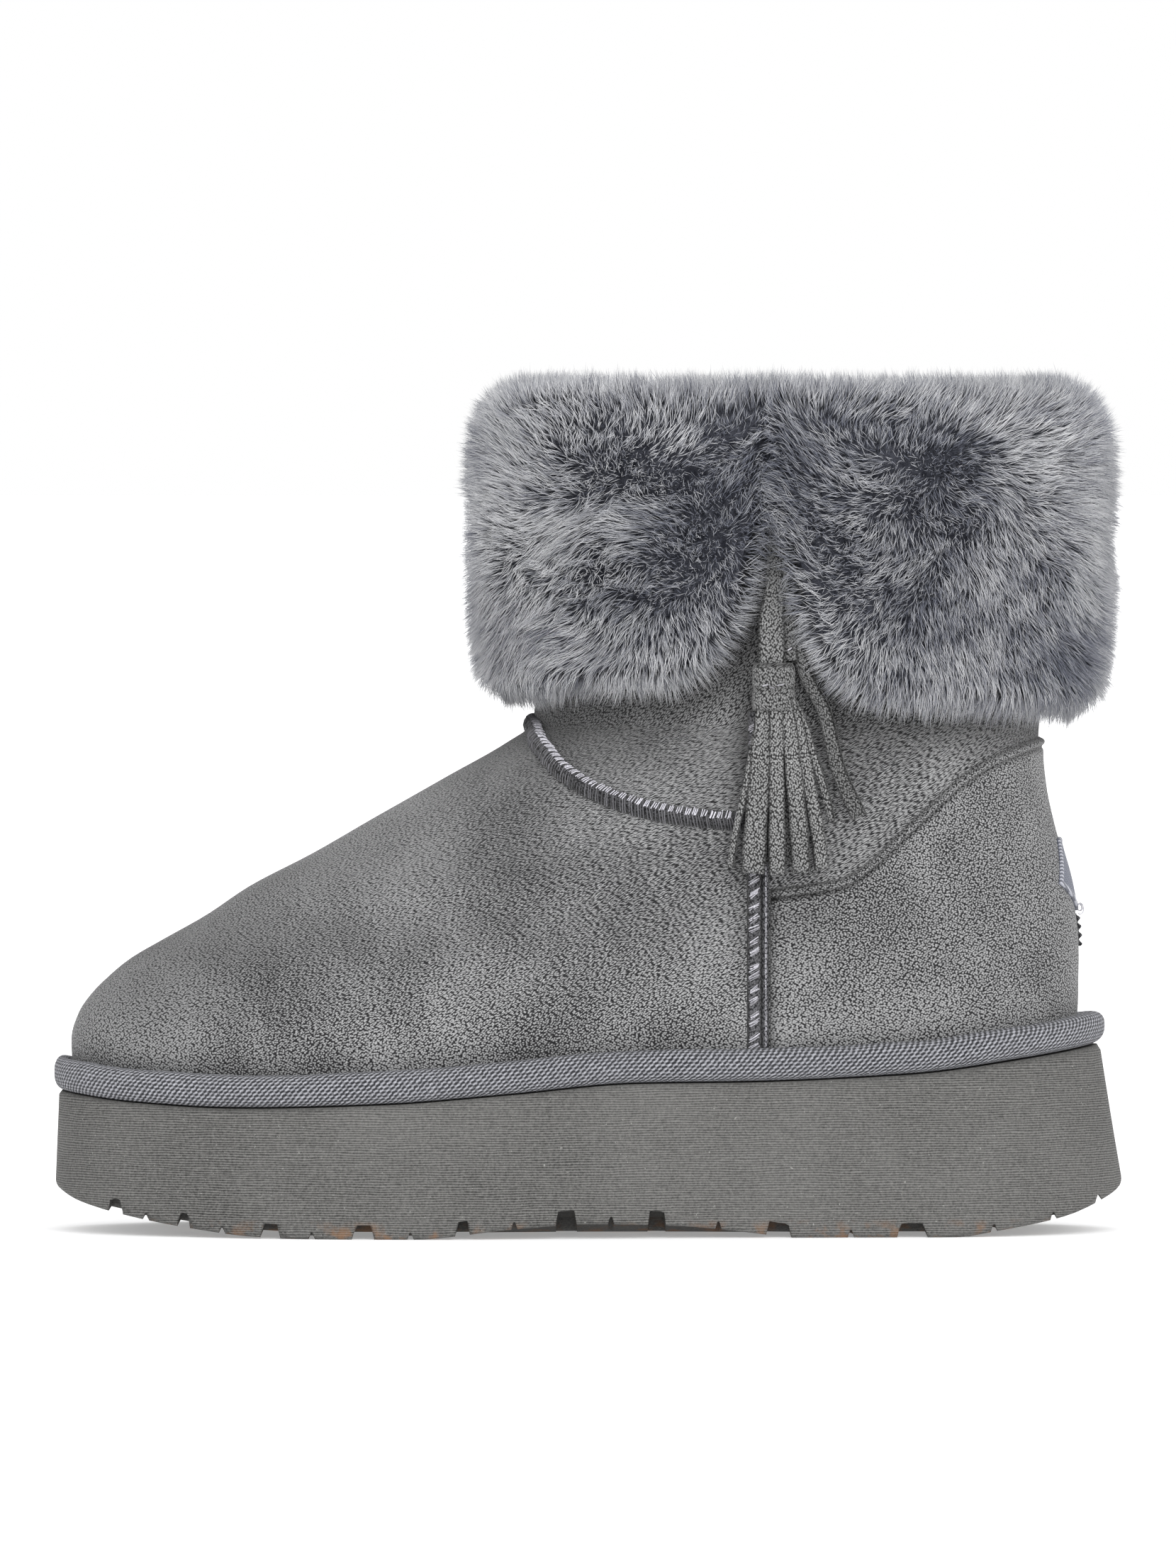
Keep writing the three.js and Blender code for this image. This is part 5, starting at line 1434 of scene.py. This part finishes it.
# Grid of columns from side to side by rows from the pointed foot to the top, tapered above its corners.
def makeLabel():
    column = np.linspace(-1, 1, labelLook["columns"])
    row = np.linspace(0, 1, labelLook["rows"])
    c, r = np.meshgrid(column, row, indexing="ij")
    tip, corner, head = (labelLook[key] for key in ("tipLevel", "cornerLevel", "topLevel"))
    foot = mix(tip, corner, np.abs(c))
    level = mix(foot, head, r)
    rise = np.clip((level - corner) / (head - corner), 0, 1)
    taper = mix(1, labelLook["topHalfWidth"] / labelLook["halfWidth"], rise)
    turn = math.pi + c * labelHalfTurn() * taper
    height = boot["rimHeight"] - boot["heelHeight"]
    side = (1 - np.abs(c)) * labelLook["halfWidth"] * taper
    edge = np.minimum(side, np.minimum((level - foot) * height * 0.9, (head - level) * height))
    border = 0.3 * bell(edge, 0.6, 0.6)
    lift = boot["gap"] * 0.3 + boot["quarterThick"] + 0.2
    outside = bootSkin(turn, level, lift + labelLook["thick"] + border)
    inside = bootSkin(turn, level, lift - 0.4)
    points = np.concatenate([outside, inside[:, ::-1]], 1)
    uv = np.stack([c * taper * labelLook["halfWidth"], (level - tip) * height], -1)
    uv = np.concatenate([uv, uv[:, ::-1]], 1)
    mask = np.concatenate([bell(edge, 0.3, 0.7), np.zeros_like(edge)], 1)
    faces = tubeFaces(*points.shape[:2])
    makeMesh("wovenLabel", points, faces, labelMaterial, ("heel_label",), uv, mask, 0.001)


# Rough end of the back seam under the label, and loose threads at the label's tip.
def makeBackEdge():
    level = np.linspace(backEdge["fromLevel"], backEdge["toLevel"], backEdge["steps"])
    path = (np.full(level.shape, math.pi), level)
    makeRidge("backSeamEdge", path, backEdge["width"], backEdge["height"], (), roundProfile(),
              backEdge["lumps"])
    tip = bootSkin(np.array([math.pi]), np.array([labelLook["tipLevel"]]), np.array([2.2]))
    angle = np.linspace(0.3, 5.4, 14)[None]
    size = np.array([1.3, 1.0, 0.8])[:, None]
    loop = np.stack([size * (1 - np.cos(angle)) * 0.7, size * np.sin(angle) * 0.5, size * np.sin(angle)], -1)
    loop = tip + loop + np.array([[-0.4, 0.0, 0.4], [-0.2, -1.2, 1.0], [-0.2, 0.9, 0.8]])[:, None]
    points, faces = tubes(loop, np.full(loop.shape[:2], 0.13))
    makeThreadPiece("labelThreads", [(points, faces, np.repeat([0.7, 0.5, 0.6], 14 * 6))])


def makeLabelMaterial():
    material, tree, shader = newMaterial("wovenSatin", 0.6, Specular_IOR_Level=0.35, Sheen_Weight=0.2)
    uv = addNode(tree, "ShaderNodeUVMap", uv_map="pattern").outputs[0]
    split = addNode(tree, "ShaderNodeSeparateXYZ", {"Vector": uv})
    u, v = split.outputs["X"], split.outputs["Y"]
    warp = calc(tree, "ABSOLUTE", calc(tree, "SINE", calc(tree, "MULTIPLY", u, math.pi / 0.42)))
    weft = calc(tree, "ABSOLUTE", calc(tree, "SINE", calc(tree, "MULTIPLY", v, math.pi / 0.5)))
    weave = calc(tree, "MULTIPLY", warp, weft)
    slant = calc(tree, "SINE", calc(tree, "MULTIPLY", calc(tree, "ADD", u, v), math.pi / 0.7))
    border = addNode(tree, "ShaderNodeVertexColor", layer_name="shade").outputs["Color"]
    field = blendColor(tree, weave, (0.06, 0.068, 0.1, 1), (0.125, 0.14, 0.19, 1))
    edging = blendColor(tree, remap(tree, slant, -0.4, 0.6), (0.12, 0.125, 0.15, 1), (0.42, 0.43, 0.48, 1))
    color = blendColor(tree, remap(tree, border, 0.35, 0.6), field, edging)
    tree.links.new(color, shader.inputs["Base Color"])
    bumpTo(tree, shader, calc(tree, "ADD", weave, calc(tree, "MULTIPLY", slant, 0.5)), 0.6, 0.0002)
    return material


labelMaterial = makeLabelMaterial()
makeLabel()
makeBackEdge()
print("stage: heel label ready")


# Floor, lights and camera.
studio = dict(distance=4200.0, elevation=1.2, pixel=0.1839, centreRow=1106, floorRow=1739, imageHeight=2212,
              focusPlane=-15.0, floorReach=60.0)
suns = dict(
    name=["keySun", "topSun", "rearSun"], azimuth=[10, 0, 170], height=[20, 75, 40],
    power=[2.1, 0.4, 0.4], spread=[55, 70, 60],
)


# Sky: white at the horizon, and darker overhead, so that sides are lit more than tops.
def makeSky():
    world = bpy.data.worlds.new("studio")
    bpy.context.scene.world = world
    world.use_nodes = True
    tree = world.node_tree
    way = tree.nodes.new("ShaderNodeTexCoord").outputs["Generated"]
    rise = addNode(tree, "ShaderNodeSeparateXYZ", {"Vector": way}).outputs["Z"]
    shade = blendColor(tree, remap(tree, rise, 0.2, 0.9), (1.0, 1.0, 1.0, 1), (0.62, 0.62, 0.63, 1))
    tree.links.new(shade, tree.nodes["Background"].inputs["Color"])


def makeStudio():
    reach = studio["floorReach"]
    floor = bpy.data.meshes.new("studioFloor")
    floor.from_pydata([(-reach, -reach, 0), (reach, -reach, 0), (reach, reach, 0), (-reach, reach, 0)], [],
                      [(0, 1, 2, 3)])
    floorPiece = bpy.data.objects.new("studioFloor", floor)
    bpy.context.scene.collection.objects.link(floorPiece)
    material, tree, shader = newMaterial("paleFloor", 0.9, Specular_IOR_Level=0.1)
    speck = noise(tree, objectPlace(tree), 3.0, 2.0)
    pale = blendColor(tree, speck, (0.9, 0.9, 0.9, 1), (0.92, 0.92, 0.92, 1))
    tree.links.new(pale, shader.inputs["Base Color"])
    tree.links.new(pale, shader.inputs["Emission Color"])
    shader.inputs["Emission Strength"].default_value = 0.3
    floor.materials.append(material)
    for name, azimuth, height, power, spread in zip(*suns.values()):
        light = bpy.data.lights.new(name, "SUN")
        light.energy, light.angle = power, spread * degree
        lamp = bpy.data.objects.new(name, light)
        turn, rise = azimuth * degree, height * degree
        toLight = Vector((math.sin(turn) * math.cos(rise), -math.cos(turn) * math.cos(rise), math.sin(rise)))
        lamp.rotation_euler = toLight.to_track_quat("Z", "Y").to_euler()
        bpy.context.scene.collection.objects.link(lamp)


# The camera looks at the outer side from just above level, as far off as keeps the photo's flat perspective.
def makeCamera():
    lens = bpy.data.cameras.new("photoCamera")
    camera = bpy.data.objects.new("photoCamera", lens)
    height = (studio["floorRow"] - studio["centreRow"]) * studio["pixel"]
    tilt = studio["elevation"] * degree
    aim = Vector((0, studio["focusPlane"], height)) * metre
    back = Vector((0, -math.cos(tilt), math.sin(tilt)))
    camera.location = aim + back * studio["distance"] * metre
    camera.rotation_euler = back.to_track_quat("Z", "Y").to_euler()
    lens.sensor_width = 36
    lens.lens = 36 * studio["distance"] / (studio["imageHeight"] * studio["pixel"])
    lens.clip_start, lens.clip_end = 0.05, 200
    bpy.context.scene.collection.objects.link(camera)
    bpy.context.scene.camera = camera


makeStudio()
makeSky()
makeCamera()
bpy.context.scene.view_settings.view_transform = "Standard"
print("stage: studio ready")
